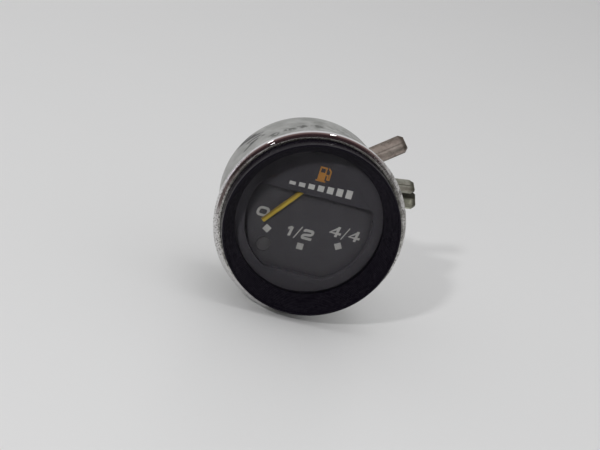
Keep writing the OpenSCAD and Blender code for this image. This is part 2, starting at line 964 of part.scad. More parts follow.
// A foot on the board with a blade that is bent up along the foot's edge
module terminal(spec) {
    reach = spec[3] - spec[4];
    width = blade_w + blade_root;
    tip = reach - blade_tip_cut;
    color("#a39c92")
        union() {
            difference() {
                plate(board_rear, blade_t)
                    rotate(spec[0])
                        translate([spec[4], spec[1] - spec[5]])
                            square([foot_end - spec[4], spec[5]]);
                bar(rivet_hole_r, board_rear - over, board_rear + blade_t + over, rivet_at(spec));
            }
            rotate([0, -spec[0], 0])
                translate([spec[4], board_rear, spec[1]])
                    rotate([90 - spec[2], 0, 0])
                        translate([0, 0, -blade_t])
                            linear_extrude(height = blade_t)
                                polygon([
                                    [0, 0], [tip, 0], [reach, blade_tip_cut],
                                    [reach, width - blade_tip_cut], [tip, width], [0, width]
                                ]);
        }
}

module sender_terminal() { terminal(sender_spec); }
module supply_terminal() { terminal(supply_spec); }
module earth_terminal() { terminal(earth_spec); }

module terminal_rivets() {
    head_face = rear_inner - insulator_t;
    foot_face = board_rear + blade_t;
    color("#b9975a")
        for (spec = terminal_specs)
            turned([
                [0, head_face - rivet_head_t], [rivet_head_r, head_face - rivet_head_t],
                [rivet_head_r, head_face], [rivet_r, head_face], [rivet_r, foot_face],
                [rivet_head_r, foot_face], [rivet_head_r - rivet_edge, foot_face + rivet_head_t],
                [0, foot_face + rivet_head_t]
            ], rivet_at(spec));
}

// Studs and nuts

module mounting_studs() {
    stud_end = rear_outer + stud_len;
    pilot_front = stud_end - stud_pilot_len;
    pilot_r = stud_r - stud_pilot_step;
    color("#a9abad")
        for (side = [-1, 1])
            turned([
                [0, base_front], [stud_r, base_front], [stud_r, pilot_front], [pilot_r, pilot_front],
                [pilot_r, stud_end - stud_edge], [pilot_r - stud_edge, stud_end], [0, stud_end]
            ], [0, side * stud_pitch / 2]);
}

module flat_washers() {
    rear = rear_outer + washer_t;
    color("#a9abad")
        for (side = [-1, 1])
            tube(washer_r, stud_r + running_gap, rear_outer, rear, [0, side * stud_pitch / 2]);
}

module lock_washers() {
    front = rear_outer + washer_t;
    rear = front + washer_t;
    color("#8d8f91")
        for (side = [-1, 1])
            difference() {
                tube(lock_washer_r, stud_r + running_gap, front, rear, [0, side * stud_pitch / 2]);
                translate([0, front - over, side * stud_pitch / 2 - lock_washer_slit / 2])
                    cube([lock_washer_r + over, washer_t + 2 * over, lock_washer_slit]);
            }
}

module knurled_nut(side) {
    bore_r = stud_r + running_gap;
    edge_r = nut_r - nut_edge;
    nut_rear = nut_front + nut_h;
    color("#b8a468")
        translate([0, 0, side * stud_pitch / 2])
            difference() {
                turned([
                    [bore_r, nut_front], [edge_r, nut_front], [nut_r, nut_front + nut_edge],
                    [nut_r, nut_rear - nut_edge], [edge_r, nut_rear], [bore_r, nut_rear]
                ]);
                for (i = [0:nut_flutes - 1])
                    rotate([0, i * 360 / nut_flutes, 0])
                        bar(flute_r, nut_front - over, nut_rear + over, [nut_r + flute_out, 0]);
            }
}

module knurled_nut_top() { knurled_nut(1); }
module knurled_nut_bottom() { knurled_nut(-1); }

// Lamp holders and bulbs

module lamp_shell(at) {
    flange_face = rear_outer + running_gap;
    flange_back = flange_face + lamp_flange_t;
    color("#b3a06a")
        difference() {
            turned([
                [lamp_bore_r, barrel_front], [lamp_r - lamp_nose_step, barrel_front],
                [lamp_r, barrel_front + lamp_nose_len], [lamp_r, flange_face], [lamp_flange_r, flange_face],
                [lamp_flange_r, flange_back], [lamp_bore_r, flange_back]
            ], at);
            for (angle = [0, 120, 240])
                translate([at[0], 0, at[1]])
                    rotate([0, angle, 0])
                        translate([0, barrel_front - over, -lamp_slit_w / 2])
                            cube([lamp_r + over, lamp_slit_len + over, lamp_slit_w]);
        }
}

module lamp_insulator(at) {
    boss_front = rear_outer + running_gap + lamp_flange_t;
    color("#2b2724")
        turned([
            [contact_r, plug_front], [plug_r, plug_front], [plug_r, boss_front], [plug_boss_r, boss_front],
            [plug_boss_r, boss_front + plug_boss_t], [contact_r, boss_front + plug_boss_t]
        ], at);
}

module lamp_contact(at) {
    boss_rear = rear_outer + running_gap + lamp_flange_t + plug_boss_t;
    collar_rear = boss_rear + contact_collar_t;
    color("#b9975a")
        union() {
            turned([
                [0, cap_rear], [contact_head_r, cap_rear], [contact_head_r, plug_front],
                [contact_r, plug_front], [contact_r, collar_rear], [0, collar_rear]
            ], at);
            translate([at[0] - blade_w / 2, boss_rear, at[1] - blade_t / 2])
                cube([blade_w, lamp_blade_len, blade_t]);
        }
}

module bulb_cap(at) {
    color("#c2a34f")
        bar(bulb_r, cap_front, cap_rear, at);
}

module bulb_glass(at) {
    dome_y = bulb_tip + bulb_glass_r;
    inner_r = bulb_glass_r - bulb_glass_t;
    color("#dfe6ea88")
        turned(concat(
            arc([0, dome_y], bulb_glass_r, 270, 360),
            [[bulb_glass_r, cap_front], [inner_r, cap_front]],
            arc([0, dome_y], inner_r, 360, 270)
        ), at);
}

module dial_lamp_shell() { lamp_shell(dial_lamp_at); }
module dial_lamp_insulator() { lamp_insulator(dial_lamp_at); }
module dial_lamp_contact() { lamp_contact(dial_lamp_at); }
module dial_bulb_cap() { bulb_cap(dial_lamp_at); }
module dial_bulb_glass() { bulb_glass(dial_lamp_at); }
module reserve_lamp_shell() { lamp_shell(reserve_lamp_at); }
module reserve_lamp_insulator() { lamp_insulator(reserve_lamp_at); }
module reserve_lamp_contact() { lamp_contact(reserve_lamp_at); }
module reserve_bulb_cap() { bulb_cap(reserve_lamp_at); }
module reserve_bulb_glass() { bulb_glass(reserve_lamp_at); }

// Moving system

module spindle() {
    body_front = bush_rear + end_play;
    body_rear = rear_bush_front - end_play;
    spindle_rear = rear_bush_front + rear_bush_hole - end_play;
    color("#b8babd")
        turned([
            [0, hub_front], [journal_r, hub_front], [journal_r, body_front], [spindle_r, body_front],
            [spindle_r, body_rear], [journal_r, body_rear], [journal_r, spindle_rear], [0, spindle_rear]
        ], [0, pivot_z]);
}

module armature() {
    color("#85878a")
        at_rest()
            plate(coil_y - armature_t / 2, armature_t)
                difference() {
                    intersection() {
                        circle(r = armature_r);
                        translate([-armature_w / 2, -armature_r])
                            square([armature_w, armature_r + armature_tail]);
                    }
                    circle(r = spindle_r);
                }
}

module counterweight() {
    weight_front = arm_front - weight_nose;
    color("#c2a34f")
        at_rest()
            union() {
                plate(arm_front, arm_t)
                    difference() {
                        union() {
                            circle(r = bush_r);
                            translate([-arm_w / 2, 0])
                                square([arm_w, weight_reach]);
                        }
                        circle(r = spindle_r);
                    }
                bar(weight_r, weight_front, weight_front + weight_len, [0, weight_reach]);
            }
}

module needle_hub() {
    color("#26262a")
        turned([
            [journal_r, hub_front], [hub_neck_r, hub_front], [hub_neck_r, needle_rear],
            [hub_r, needle_rear], [hub_r, hub_rear], [journal_r, hub_rear]
        ], [0, pivot_z]);
}

module needle() {
    color("#c9a227")
        at_rest()
            plate(needle_front, needle_t)
                difference() {
                    union() {
                        circle(r = hub_r);
                        translate([-needle_w / 2, -needle_len])
                            square([needle_w, needle_len]);
                    }
                    circle(r = hub_neck_r);
                }
}

case_can();
bezel();
visor_ring();
glass_seal();
front_glass();
spacer_ring();
mask_plate();
pump_symbol();
level_bars();
scale_plate();
scale_marks();
scale_numerals();
reserve_lens();
light_tube();
base_plate();
frame_pillars();
front_bridge();
dial_screws();
front_bush();
rear_bush();
bush_nut();
stop_pins();
bobbin_left();
bobbin_right();
winding_left();
winding_right();
core_left();
core_right();
coil_leads();
inner_insulator();
terminal_board();
sender_terminal();
supply_terminal();
earth_terminal();
terminal_rivets();
mounting_studs();
flat_washers();
lock_washers();
knurled_nut_top();
knurled_nut_bottom();
dial_lamp_shell();
dial_lamp_insulator();
dial_lamp_contact();
dial_bulb_cap();
dial_bulb_glass();
reserve_lamp_shell();
reserve_lamp_insulator();
reserve_lamp_contact();
reserve_bulb_cap();
reserve_bulb_glass();
spindle();
armature();
counterweight();
needle_hub();
needle();
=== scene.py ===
import math

import bmesh
import bpy
from mathutils import Matrix, Vector


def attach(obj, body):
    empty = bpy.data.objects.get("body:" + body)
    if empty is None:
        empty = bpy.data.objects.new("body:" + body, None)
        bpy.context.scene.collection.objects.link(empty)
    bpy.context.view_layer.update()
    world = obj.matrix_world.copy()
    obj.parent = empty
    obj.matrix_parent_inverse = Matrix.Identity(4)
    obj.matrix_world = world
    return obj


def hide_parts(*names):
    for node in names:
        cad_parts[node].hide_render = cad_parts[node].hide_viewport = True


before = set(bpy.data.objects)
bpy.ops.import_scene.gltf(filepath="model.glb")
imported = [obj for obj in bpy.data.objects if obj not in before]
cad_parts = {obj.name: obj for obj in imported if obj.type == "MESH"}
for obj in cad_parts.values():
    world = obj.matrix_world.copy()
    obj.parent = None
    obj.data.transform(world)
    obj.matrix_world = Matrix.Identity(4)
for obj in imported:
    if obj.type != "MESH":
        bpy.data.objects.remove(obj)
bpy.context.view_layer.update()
scene = bpy.context.scene
scene.view_settings.view_transform = "Standard"
scene.view_settings.look = "None"
mm = 0.001
weld = 1e-6  # corners nearer than this are one corner
finishes = {}
print("frame loaded:", len(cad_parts), "nodes")


# Camera

cameraValues = {
    "place": (-0.0805, -0.42729, 0.12517),
    "right": (0.9543, -0.0895, 0.2852),
    "up": (-0.2445, 0.3154, 0.9169),
    "lens": 91.14,
}


def makeCamera(values):
    right = Vector(values["right"]).normalized()
    up = Vector(values["up"])
    up = (up - right * up.dot(right)).normalized()
    data = bpy.data.cameras.new("camera")
    data.sensor_fit = "HORIZONTAL"
    data.sensor_width = 36
    data.lens = values["lens"]
    data.clip_start = 0.01
    data.clip_end = 50
    camera = bpy.data.objects.new("camera", data)
    turn = Matrix((right, up, right.cross(up))).transposed().to_4x4()
    camera.matrix_world = Matrix.Translation(values["place"]) @ turn
    scene.collection.objects.link(camera)
    scene.camera = camera


makeCamera(cameraValues)
print("camera made")


# Node helpers

def put(tree, kind, feeds=None, **settings):
    # adds a node, sets its options, and links or sets the sockets named in feeds
    node = tree.nodes.new("ShaderNode" + kind)
    for option, value in settings.items():
        setattr(node, option, value)
    for socket, value in (feeds or {}).items():
        if isinstance(value, bpy.types.NodeSocket):
            tree.links.new(value, node.inputs[socket])
        else:
            node.inputs[socket].default_value = value
    return node


def maths(tree, operation, a, b=0.0, c=0.0, clamp=False):
    return put(tree, "Math", {0: a, 1: b, 2: c}, operation=operation, use_clamp=clamp).outputs[0]


def times(tree, first, *others, clamp=False):
    for other in others:
        first = maths(tree, "MULTIPLY", first, other, clamp=clamp)
    return first


def scaled(tree, value, factor, added, clamp=False):
    return maths(tree, "MULTIPLY_ADD", value, factor, added, clamp)


def minus(tree, a, b):
    return maths(tree, "SUBTRACT", a, b)


def largest(tree, first, *others):
    for other in others:
        first = maths(tree, "MAXIMUM", first, other)
    return first


def size(tree, value):
    return maths(tree, "ABSOLUTE", value)


def ramp(tree, value, low, high, start=0.0, end=1.0):
    # goes smoothly from start to end as the value goes from low to high
    feeds = {"Value": value, "From Min": low, "From Max": high, "To Min": start, "To Max": end}
    return put(tree, "MapRange", feeds, interpolation_type="SMOOTHSTEP").outputs[0]


def between(tree, value, low, high, soft):
    # one inside a span of values, with soft ends
    return times(tree, ramp(tree, value, low, low + soft), ramp(tree, value, high - soft, high, 1.0, 0.0))


def blend(tree, amount, first, second):
    # mixes two colours, each of them a node's or three plain numbers
    first, second = ((*tone, 1.0) if isinstance(tone, tuple) else tone for tone in (first, second))
    return put(tree, "Mix", {0: amount, 6: first, 7: second}, data_type="RGBA").outputs[2]


def noise(tree, here, scale, detail, **more):
    feeds = {"Vector": here, "Scale": scale, "Detail": detail, **more}
    return put(tree, "TexNoise", feeds).outputs["Fac"]


def patches(tree, here, scale, detail, low, high):
    return ramp(tree, noise(tree, here, scale, detail), low, high)


def axes(tree, vector):
    return put(tree, "SeparateXYZ", {0: vector}).outputs


def fromAxis(tree, here):
    # the distance from the gauge's own axis
    flat = put(tree, "VectorMath", {0: here, 1: (1.0, 0.0, 1.0)}, operation="MULTIPLY").outputs[0]
    return put(tree, "VectorMath", {0: flat}, operation="LENGTH").outputs["Value"]


def alignment(tree, a, b):
    return put(tree, "VectorMath", {0: a, 1: b}, operation="DOT_PRODUCT").outputs["Value"]


# Effects that several finishes share

def newGroup(name, inputs, result):
    # a group with one result and named inputs, of which a number is a Float socket and the rest are vectors
    group = bpy.data.node_groups.new(name, "ShaderNodeTree")
    for label, value in inputs.items():
        kind = "NodeSocketFloat" if isinstance(value, float) else "NodeSocketVector"
        socket = group.interface.new_socket(label, in_out="INPUT", socket_type=kind)
        if value is not None:
            socket.default_value = value
    group.interface.new_socket(result, in_out="OUTPUT", socket_type="NodeSocketFloat")
    start = group.nodes.new("NodeGroupInput").outputs
    end = group.nodes.new("NodeGroupOutput").inputs
    return group, start, end


def buildMottle():
    # cloudy stains: one broad noise broken up by a finer one
    inputs = {"Vector": None, "Scale": 100.0, "Low": 0.45, "High": 0.6}
    group, start, end = newGroup("mottle", inputs, "Mask")
    broad = noise(group, start["Vector"], start["Scale"], 5.0, Roughness=0.6, Distortion=0.7)
    fine = noise(group, start["Vector"], times(group, start["Scale"], 5.3), 3.0)
    both = maths(group, "ADD", times(group, broad, 0.75), times(group, fine, 0.25))
    group.links.new(ramp(group, both, start["Low"], start["High"]), end["Mask"])
    return group


def buildEdgeWear():
    # rubbed edges: where a rounded normal leaves the real one, broken up by noise
    inputs = {"Vector": None, "Radius": 0.0003, "Breakup": 900.0, "Amount": 1.0}
    group, start, end = newGroup("edgeWear", inputs, "Mask")
    rounded = put(group, "Bevel", {"Radius": start["Radius"]}, samples=6).outputs[0]
    match = alignment(group, rounded, put(group, "NewGeometry").outputs["Normal"])
    edge = ramp(group, match, 0.995, 0.86)
    worn = times(group, edge, patches(group, start["Vector"], start["Breakup"], 4.0, 0.36, 0.58))
    group.links.new(times(group, worn, start["Amount"], clamp=True), end["Mask"])
    return group


def buildGrain():
    # fine tooth of a surface, stretched along one way for drawn or brushed metal
    inputs = {"Vector": None, "Stretch": (1.0, 1.0, 1.0), "Scale": 2000.0}
    group, start, end = newGroup("fineGrain", inputs, "Height")
    pulled = put(group, "VectorMath", {0: start["Vector"], 1: start["Stretch"]}, operation="MULTIPLY")
    tooth = noise(group, pulled.outputs[0], start["Scale"], 6.0, Roughness=0.65)
    group.links.new(tooth, end["Height"])
    return group


def buildSpecks():
    # pits, dust specks and little spots of tarnish, thicker in patches
    inputs = {"Vector": None, "Scale": 1500.0, "Size": 0.25, "Spread": 0.5}
    group, start, end = newGroup("specks", inputs, "Mask")
    cells = put(group, "TexVoronoi", {"Vector": start["Vector"], "Scale": start["Scale"]})
    thick = patches(group, start["Vector"], times(group, start["Scale"], 0.21), 3.0,
                    start["Spread"], maths(group, "ADD", start["Spread"], 0.2))
    inside = minus(group, times(group, start["Size"], thick), cells.outputs["Distance"])
    group.links.new(ramp(group, inside, -0.05, 0.12), end["Mask"])
    return group


def buildTurned():
    # rings left by the lathe, round the gauge's axis
    group, start, end = newGroup("turnedRings", {"Vector": None, "Pitch": 0.0002, "Wander": 0.4}, "Height")
    radius = fromAxis(group, start["Vector"])
    turns = maths(group, "DIVIDE", radius, start["Pitch"])
    drift = put(group, "TexNoise", {"W": times(group, radius, 900.0), "Detail": 2.0}, noise_dimensions="1D")
    bent = scaled(group, drift.outputs["Fac"], start["Wander"], turns)
    wave = maths(group, "SINE", times(group, bent, 2 * math.pi))
    group.links.new(scaled(group, wave, 0.5, 0.5), end["Height"])
    return group


def buildDust():
    # light dust that has settled on faces that look up
    group, start, end = newGroup("settledDust", {"Vector": None, "Facing": None, "Amount": 0.3}, "Mask")
    lying = times(group, ramp(group, axes(group, start["Facing"])["Z"], 0.1, 0.9),
                  patches(group, start["Vector"], 420.0, 5.0, 0.4, 0.7),
                  patches(group, start["Vector"], 3800.0, 2.0, 0.3, 0.7))
    group.links.new(times(group, lying, start["Amount"], clamp=True), end["Mask"])
    return group


effects = {
    "mottle": buildMottle(), "edgeWear": buildEdgeWear(), "grain": buildGrain(),
    "specks": buildSpecks(), "turned": buildTurned(), "dust": buildDust(),
}


def effect(tree, name, here, **values):
    return put(tree, "Group", {"Vector": here, **values}, node_tree=effects[name]).outputs[0]


def mottle(tree, here, scale, low, high):
    return effect(tree, "mottle", here, Scale=scale, Low=low, High=high)


def specks(tree, here, scale, spotSize, spread):
    return effect(tree, "specks", here, Scale=scale, Size=spotSize, Spread=spread)


def edgeWear(tree, here, radius, amount, breakup=900.0):
    return effect(tree, "edgeWear", here, Radius=radius, Breakup=breakup, Amount=amount)


def grain(tree, here, scale, stretch=(1.0, 1.0, 1.0)):
    return effect(tree, "grain", here, Stretch=stretch, Scale=scale)


def dust(tree, coords, amount):
    return effect(tree, "dust", coords["Object"], Facing=coords["Normal"], Amount=amount)


def startFinish(name, **plain):
    # a new material with its tree, its shader and object coordinates; plain sets the shader's own sockets
    material = bpy.data.materials.new(name)
    material.use_nodes = True
    tree = material.node_tree
    shader = tree.nodes["Principled BSDF"]
    for socket, value in plain.items():
        shader.inputs[socket.replace("_", " ")].default_value = value
    coords = put(tree, "TexCoord").outputs
    finishes[name] = material
    return tree, shader, coords


def feed(tree, shader, colour, roughness, height=None, bump=0.00001, strength=0.5):
    tree.links.new(colour, shader.inputs["Base Color"])
    tree.links.new(roughness, shader.inputs["Roughness"])
    if height is not None:
        node = put(tree, "Bump", {"Height": height, "Strength": strength, "Distance": bump})
        tree.links.new(node.outputs[0], shader.inputs["Normal"])


# Floor, surroundings and lamps

floorValues = {
    "level": -0.0288,
    "radius": 6.0,
    "tone": (0.80, 0.80, 0.80),
    "cloudTone": (0.788, 0.788, 0.788),
    "cloudScale": 9.0,
    "rough": 0.45,
    "gloss": 0.25,
}

# each span is on one axis of the direction looked in, from none of the dark part or patch to all of it
skyValues = {
    "sky": (0.60, 0.60, 0.602),
    "darkBehind": (0.210, 0.140, 0.134),
    "darkInFront": (0.030, 0.017, 0.019),
    "darkDepth": (0.55, 0.35),
    "darkFoot": (0.0, 0.08),
    "darkRight": (0.84, 0.66),
    "darkFade": (-0.6, 0.35),
    "patch": (0.95, 0.92, 1.0),
    "patchWay": (-0.93, 0.34, 0.14),
    "patchEdge": (0.955, 0.985),
}

lampValues = {
    "sideLamp": {"place": (-0.75, -1.18, 0.79), "power": 8.0, "size": 0.10, "lights": True},
    "ceilingLamp": {"place": (0.14, 0.0, 1.30), "power": 1.6, "size": 0.70, "lights": True},
    "sideGlint": {"place": (-0.742, -1.168, 0.782), "power": 0.22, "size": 0.07, "lights": False},
    "windowGlint": {"place": (-0.85, 0.40, 0.90), "power": 0.28, "size": 0.11, "lights": False},
    "ceilingGlint": {"place": (0.138, 0.0, 1.285), "power": 0.45, "size": 0.10, "lights": False},
}


def makeFloor(values):
    bm = bmesh.new()
    bmesh.ops.create_circle(bm, cap_ends=True, segments=128, radius=values["radius"])
    bmesh.ops.translate(bm, verts=bm.verts, vec=(0, 0, values["level"]))
    mesh = bpy.data.meshes.new("floor")
    bm.to_mesh(mesh)
    bm.free()
    floor = bpy.data.objects.new("floor", mesh)
    scene.collection.objects.link(floor)
    plain = {"Roughness": values["rough"], "Specular_IOR_Level": values["gloss"]}
    tree, shader, coords = startFinish("floorBoard", **plain)
    cloud = noise(tree, coords["Object"], values["cloudScale"], 3.0)
    tree.links.new(blend(tree, cloud, values["cloudTone"], values["tone"]), shader.inputs["Base Color"])
    mesh.materials.append(finishes["floorBoard"])


def makeSky(values):
    # an even pale sky; shiny surfaces alone see a dark part in front and a bright patch at the left
    world = bpy.data.worlds.new("studio")
    world.use_nodes = True
    tree = world.node_tree
    tree.nodes.clear()
    heading = put(tree, "TexCoord").outputs["Generated"]
    way = axes(tree, heading)
    mirrored = put(tree, "LightPath").outputs["Is Glossy Ray"]
    dark = times(tree, ramp(tree, way["Y"], *values["darkDepth"]),
                 ramp(tree, way["Z"], *values["darkFoot"]),
                 ramp(tree, way["X"], *values["darkRight"]), mirrored)
    fade = ramp(tree, way["Y"], *values["darkFade"])
    room = blend(tree, dark, values["sky"], blend(tree, fade, values["darkInFront"], values["darkBehind"]))
    near = alignment(tree, heading, Vector(values["patchWay"]).normalized())
    patch = times(tree, ramp(tree, near, *values["patchEdge"]), mirrored)
    glow = put(tree, "Background", {"Color": blend(tree, patch, room, values["patch"])})
    out = tree.nodes.new("ShaderNodeOutputWorld")
    tree.links.new(glow.outputs[0], out.inputs["Surface"])
    scene.world = world


def makeLamp(name, values):
    # a lamp either lights surfaces softly or only shows as a small highlight on shiny ones
    data = bpy.data.lights.new(name, "AREA")
    data.shape = "DISK"
    data.size = values["size"]
    data.energy = values["power"]
    lamp = bpy.data.objects.new(name, data)
    lamp.location = values["place"]
    lamp.rotation_mode = "QUATERNION"
    lamp.rotation_quaternion = (-Vector(values["place"])).to_track_quat("-Z", "Y")
    lamp.visible_diffuse = values["lights"]
    lamp.visible_glossy = not values["lights"]
    scene.collection.objects.link(lamp)


makeFloor(floorValues)
makeSky(skyValues)
for lampName, lampSettings in lampValues.items():
    makeLamp(lampName, lampSettings)
print("floor, sky and lamps made")


# Finish of the case. In this look and the next ones, clouds, stains and the like hold a mottle's scale,
# low and high; specks hold a scale, a size and a spread; worn holds an edge's radius and amount

zincLook = {
    "pale": (0.480, 0.484, 0.470),
    "dull": (0.355, 0.359, 0.346),
    "stain": (0.17, 0.165, 0.15),
    "scratch": (0.045, 0.045, 0.048),
    "smudge": (0.080, 0.082, 0.072),
    "blotch": (0.150, 0.165, 0.138),
    "rubbed": (0.62, 0.62, 0.60),
    "clouds": (60.0, 0.36, 0.68),
    "stains": (190.0, 0.56, 0.72),
    "blotches": (430.0, 0.47, 0.62),
    "specks": (1100.0, 0.3, 0.52),
    "worn": (0.0004, 0.7),
    "drawn": (2600.0, (0.06, 1.0, 0.06)),
    "stainAmount": 0.35,
    "drawnAmount": 0.3,
    "speckAmount": 0.5,
    "markAmount": 0.95,
    "blotchAmount": (0.68, 0.12),  # on its own part of the wall, and everywhere
    "blotchTurn": (0.1, 2.0, 0.6),  # from the right side over the top, and how soft
    "blotchDepth": (0.0235, 0.0205),  # from none at the rear corner to all
    "scratchEdge": (0.00028, 0.00085),
    "scratchEnd": 0.05,
    "broken": (420.0, 3.0, 0.30, 0.44),  # the noise that breaks up the scratches, and the smudges
    "ragged": (700.0, 4.0, 0.42, 0.54),
    "scratches": (  # depth at the middle, lean, first and last angle
        (0.0252, -0.0056, 2.47, 2.76),
        (0.0226, 0.0095, 2.33, 2.64),
        (0.0180, 0.0, 2.32, 2.58),
        (0.0167, -0.010, 2.46, 2.68),
        (0.0203, 0.004, 2.36, 2.62),
        (0.0239, 0.002, 2.42, 2.70),
    ),
    "smudgeDepth": 0.0020,
    "smudgeEdge": (0.5, 1.3),
    "smudges": (  # angle, depth and how many radians wide
        (2.234, 0.0130, 0.075),
        (2.042, 0.0136, 0.085),
        (1.885, 0.0150, 0.070),
        (1.707, 0.0157, 0.085),
    ),
}


def scratchMask(tree, angle, depth, look):
    lines = []
    for middle, lean, first, last in look["scratches"]:
        path = scaled(tree, angle, lean, middle - lean * (first + last) / 2)
        thin = ramp(tree, size(tree, minus(tree, depth, path)), *look["scratchEdge"], 1.0, 0.0)
        lines.append(times(tree, thin, between(tree, angle, first, last, look["scratchEnd"])))
    return largest(tree, *lines)


def smudgeMask(tree, angle, depth, look):
    spots = []
    for middle, back, wide in look["smudges"]:
        aside = maths(tree, "DIVIDE", minus(tree, angle, middle), wide)
        deeper = maths(tree, "DIVIDE", minus(tree, depth, back), look["smudgeDepth"])
        square = maths(tree, "ADD", times(tree, aside, aside), times(tree, deeper, deeper))
        spots.append(ramp(tree, maths(tree, "SQRT", square), *look["smudgeEdge"], 1.0, 0.0))
    return largest(tree, *spots)


def makeZinc(look):
    # dull plated steel: broad clouds, fine drawn grain, blotches on the upper right wall,
    # a patch of slanting scratches and a row of smudges
    tree, shader, coords = startFinish("zincCase", Metallic=0.55, Specular_IOR_Level=0.4)
    here = coords["Object"]
    place = axes(tree, here)
    angle, depth = maths(tree, "ARCTAN2", place["Z"], place["X"]), place["Y"]
    cloudy = mottle(tree, here, *look["clouds"])
    colour = blend(tree, cloudy, look["pale"], look["dull"])
    stains = mottle(tree, here, *look["stains"])
    colour = blend(tree, times(tree, stains, look["stainAmount"]), colour, look["stain"])
    drawn = grain(tree, here, *look["drawn"])
    colour = blend(tree, ramp(tree, drawn, 0.58, 0.80, 0.0, look["drawnAmount"]), colour, look["stain"])
    spots = times(tree, specks(tree, here, *look["specks"]), look["speckAmount"])
    colour = blend(tree, spots, colour, look["stain"])
    mossy = times(tree, between(tree, angle, *look["blotchTurn"]), ramp(tree, depth, *look["blotchDepth"]))
    mossy = scaled(tree, mossy, *look["blotchAmount"])
    blotched = times(tree, mottle(tree, here, *look["blotches"]), mossy)
    colour = blend(tree, blotched, colour, look["blotch"])
    scratches = times(tree, scratchMask(tree, angle, depth, look), patches(tree, here, *look["broken"]))
    colour = blend(tree, times(tree, scratches, look["markAmount"]), colour, look["scratch"])
    smudged = times(tree, smudgeMask(tree, angle, depth, look), patches(tree, here, *look["ragged"]))
    colour = blend(tree, times(tree, smudged, look["markAmount"]), colour, look["smudge"])
    colour = blend(tree, edgeWear(tree, here, *look["worn"]), colour, look["rubbed"])
    rough = scaled(tree, stains, 0.12, ramp(tree, cloudy, 0.0, 1.0, 0.36, 0.55))
    feed(tree, shader, colour, rough, height=minus(tree, drawn, scratches), bump=0.00003)


# Finish of the bezel; its sides and bands are spans on X, on Z or across the radius

chromeLook = {
    "bright": (0.84, 0.83, 0.84),
    "worn": (0.50, 0.49, 0.465),
    "pit": (0.085, 0.078, 0.07),
    "tarnish": (0.13, 0.125, 0.11),
    "paintedBrownReflection": (0.105, 0.066, 0.062),
    "paleLip": (0.62, 0.61, 0.58),
    "clouds": (300.0, 0.38, 0.62),
    "grit": 2600.0,
    "rightSide": (0.002, 0.021),
    "leftSide": (-0.020, -0.025),
    "lowSide": (0.012, -0.006),
    "lipEdge": (0.0279, 0.0271),
    "paleFromRight": (0.006, -0.010),
    "paleFromTop": (0.010, 0.0),
    "lowAmount": 0.45,
    "leftAmount": 0.35,
    "leftPits": 0.75,
    "lipAmount": 0.8,
    "bandAmount": 0.9,
    "pitAmount": 0.75,
    # where the brown band of painted reflection lies: inside and outside radius, how far left, and its foot
    "bandInside": (0.02720, 0.02760),
    "bandOutside": (0.02845, 0.02815),
    "bandAtLeft": (-0.0215, -0.0255),
    "bandFoot": (-0.006, 0.001),
}


def makeChrome(look):
    # bright at the upper left, dull and pitted down the right side, grainy round the left; the lip is dark,
    # and pale round the lower left, where a thin brown band of painted reflection lies beside it
    tree, shader, coords = startFinish("chromeBezel", Metallic=1.0)
    here = coords["Object"]
    place, radius = axes(tree, here), fromAxis(tree, here)
    leftSide = ramp(tree, place["X"], *look["leftSide"])
    lip = ramp(tree, radius, *look["lipEdge"])
    area = largest(tree, lip, times(tree, leftSide, look["leftAmount"]),
                   ramp(tree, place["X"], *look["rightSide"]),
                   ramp(tree, place["Z"], *look["lowSide"], 0.0, look["lowAmount"]))
    worn = times(tree, area, scaled(tree, mottle(tree, here, *look["clouds"]), 0.5, 0.5))
    grit = noise(tree, here, look["grit"], 3.0, Roughness=0.7)
    pitted = largest(tree, worn, times(tree, leftSide, look["leftPits"]))
    pits = ramp(tree, minus(tree, grit, scaled(tree, pitted, -0.16, 0.66)), -0.03, 0.05)
    colour = blend(tree, worn, look["bright"], look["worn"])
    pale = times(tree, ramp(tree, place["X"], *look["paleFromRight"]),
                 ramp(tree, place["Z"], *look["paleFromTop"]))
    dark = scaled(tree, pale, -look["lipAmount"], look["lipAmount"])
    colour = blend(tree, times(tree, lip, dark), colour, look["tarnish"])
    colour = blend(tree, times(tree, lip, pale, look["lipAmount"]), colour, look["paleLip"])
    # painted reflection: a brown band down the left that carries on the dark reflection the bezel shows at
    # the top
    paintedReflectionBand = times(tree, ramp(tree, radius, *look["bandInside"]), ramp(tree, radius, *look["bandOutside"]),
                 ramp(tree, place["X"], *look["bandAtLeft"]), ramp(tree, place["Z"], *look["bandFoot"]),
                 look["bandAmount"])
    colour = blend(tree, paintedReflectionBand, colour, look["paintedBrownReflection"])
    colour = blend(tree, times(tree, pits, look["pitAmount"]), colour, look["pit"])
    rough = scaled(tree, pits, 0.3, scaled(tree, worn, 0.30, 0.05), clamp=True)
    height = times(tree, minus(tree, grit, pits), scaled(tree, area, 0.7, 0.1))
    feed(tree, shader, colour, rough, height=height, bump=0.00003, strength=0.6)


# Finish of the visor

visorLook = {
    "black": (0.0060, 0.0048, 0.0085),
    "rubbed": (0.050, 0.045, 0.056),
    "ringPitch": 0.00022,
    "ringWander": 0.6,
    "clouds": (120.0, 0.42, 0.68),
    "specks": (1300.0, 0.12, 0.55),
    "worn": (0.00025, 0.35),
    "dust": 0.10,
}


def makeVisorBlack(look):
    tree, shader, coords = startFinish("visorBlack", Specular_IOR_Level=0.09)
    here = coords["Object"]
    rings = effect(tree, "turned", here, Pitch=look["ringPitch"], Wander=look["ringWander"])
    dusty = dust(tree, coords, look["dust"])
    light = largest(tree, dusty, times(tree, specks(tree, here, *look["specks"]), 0.3),
                    edgeWear(tree, here, *look["worn"]))
    colour = blend(tree, light, look["black"], look["rubbed"])
    rough = scaled(tree, mottle(tree, here, *look["clouds"]), 0.12, 0.20)
    rough = scaled(tree, dusty, 0.8, rough, clamp=True)
    feed(tree, shader, colour, rough, height=rings, strength=0.35)


# Paints and prints

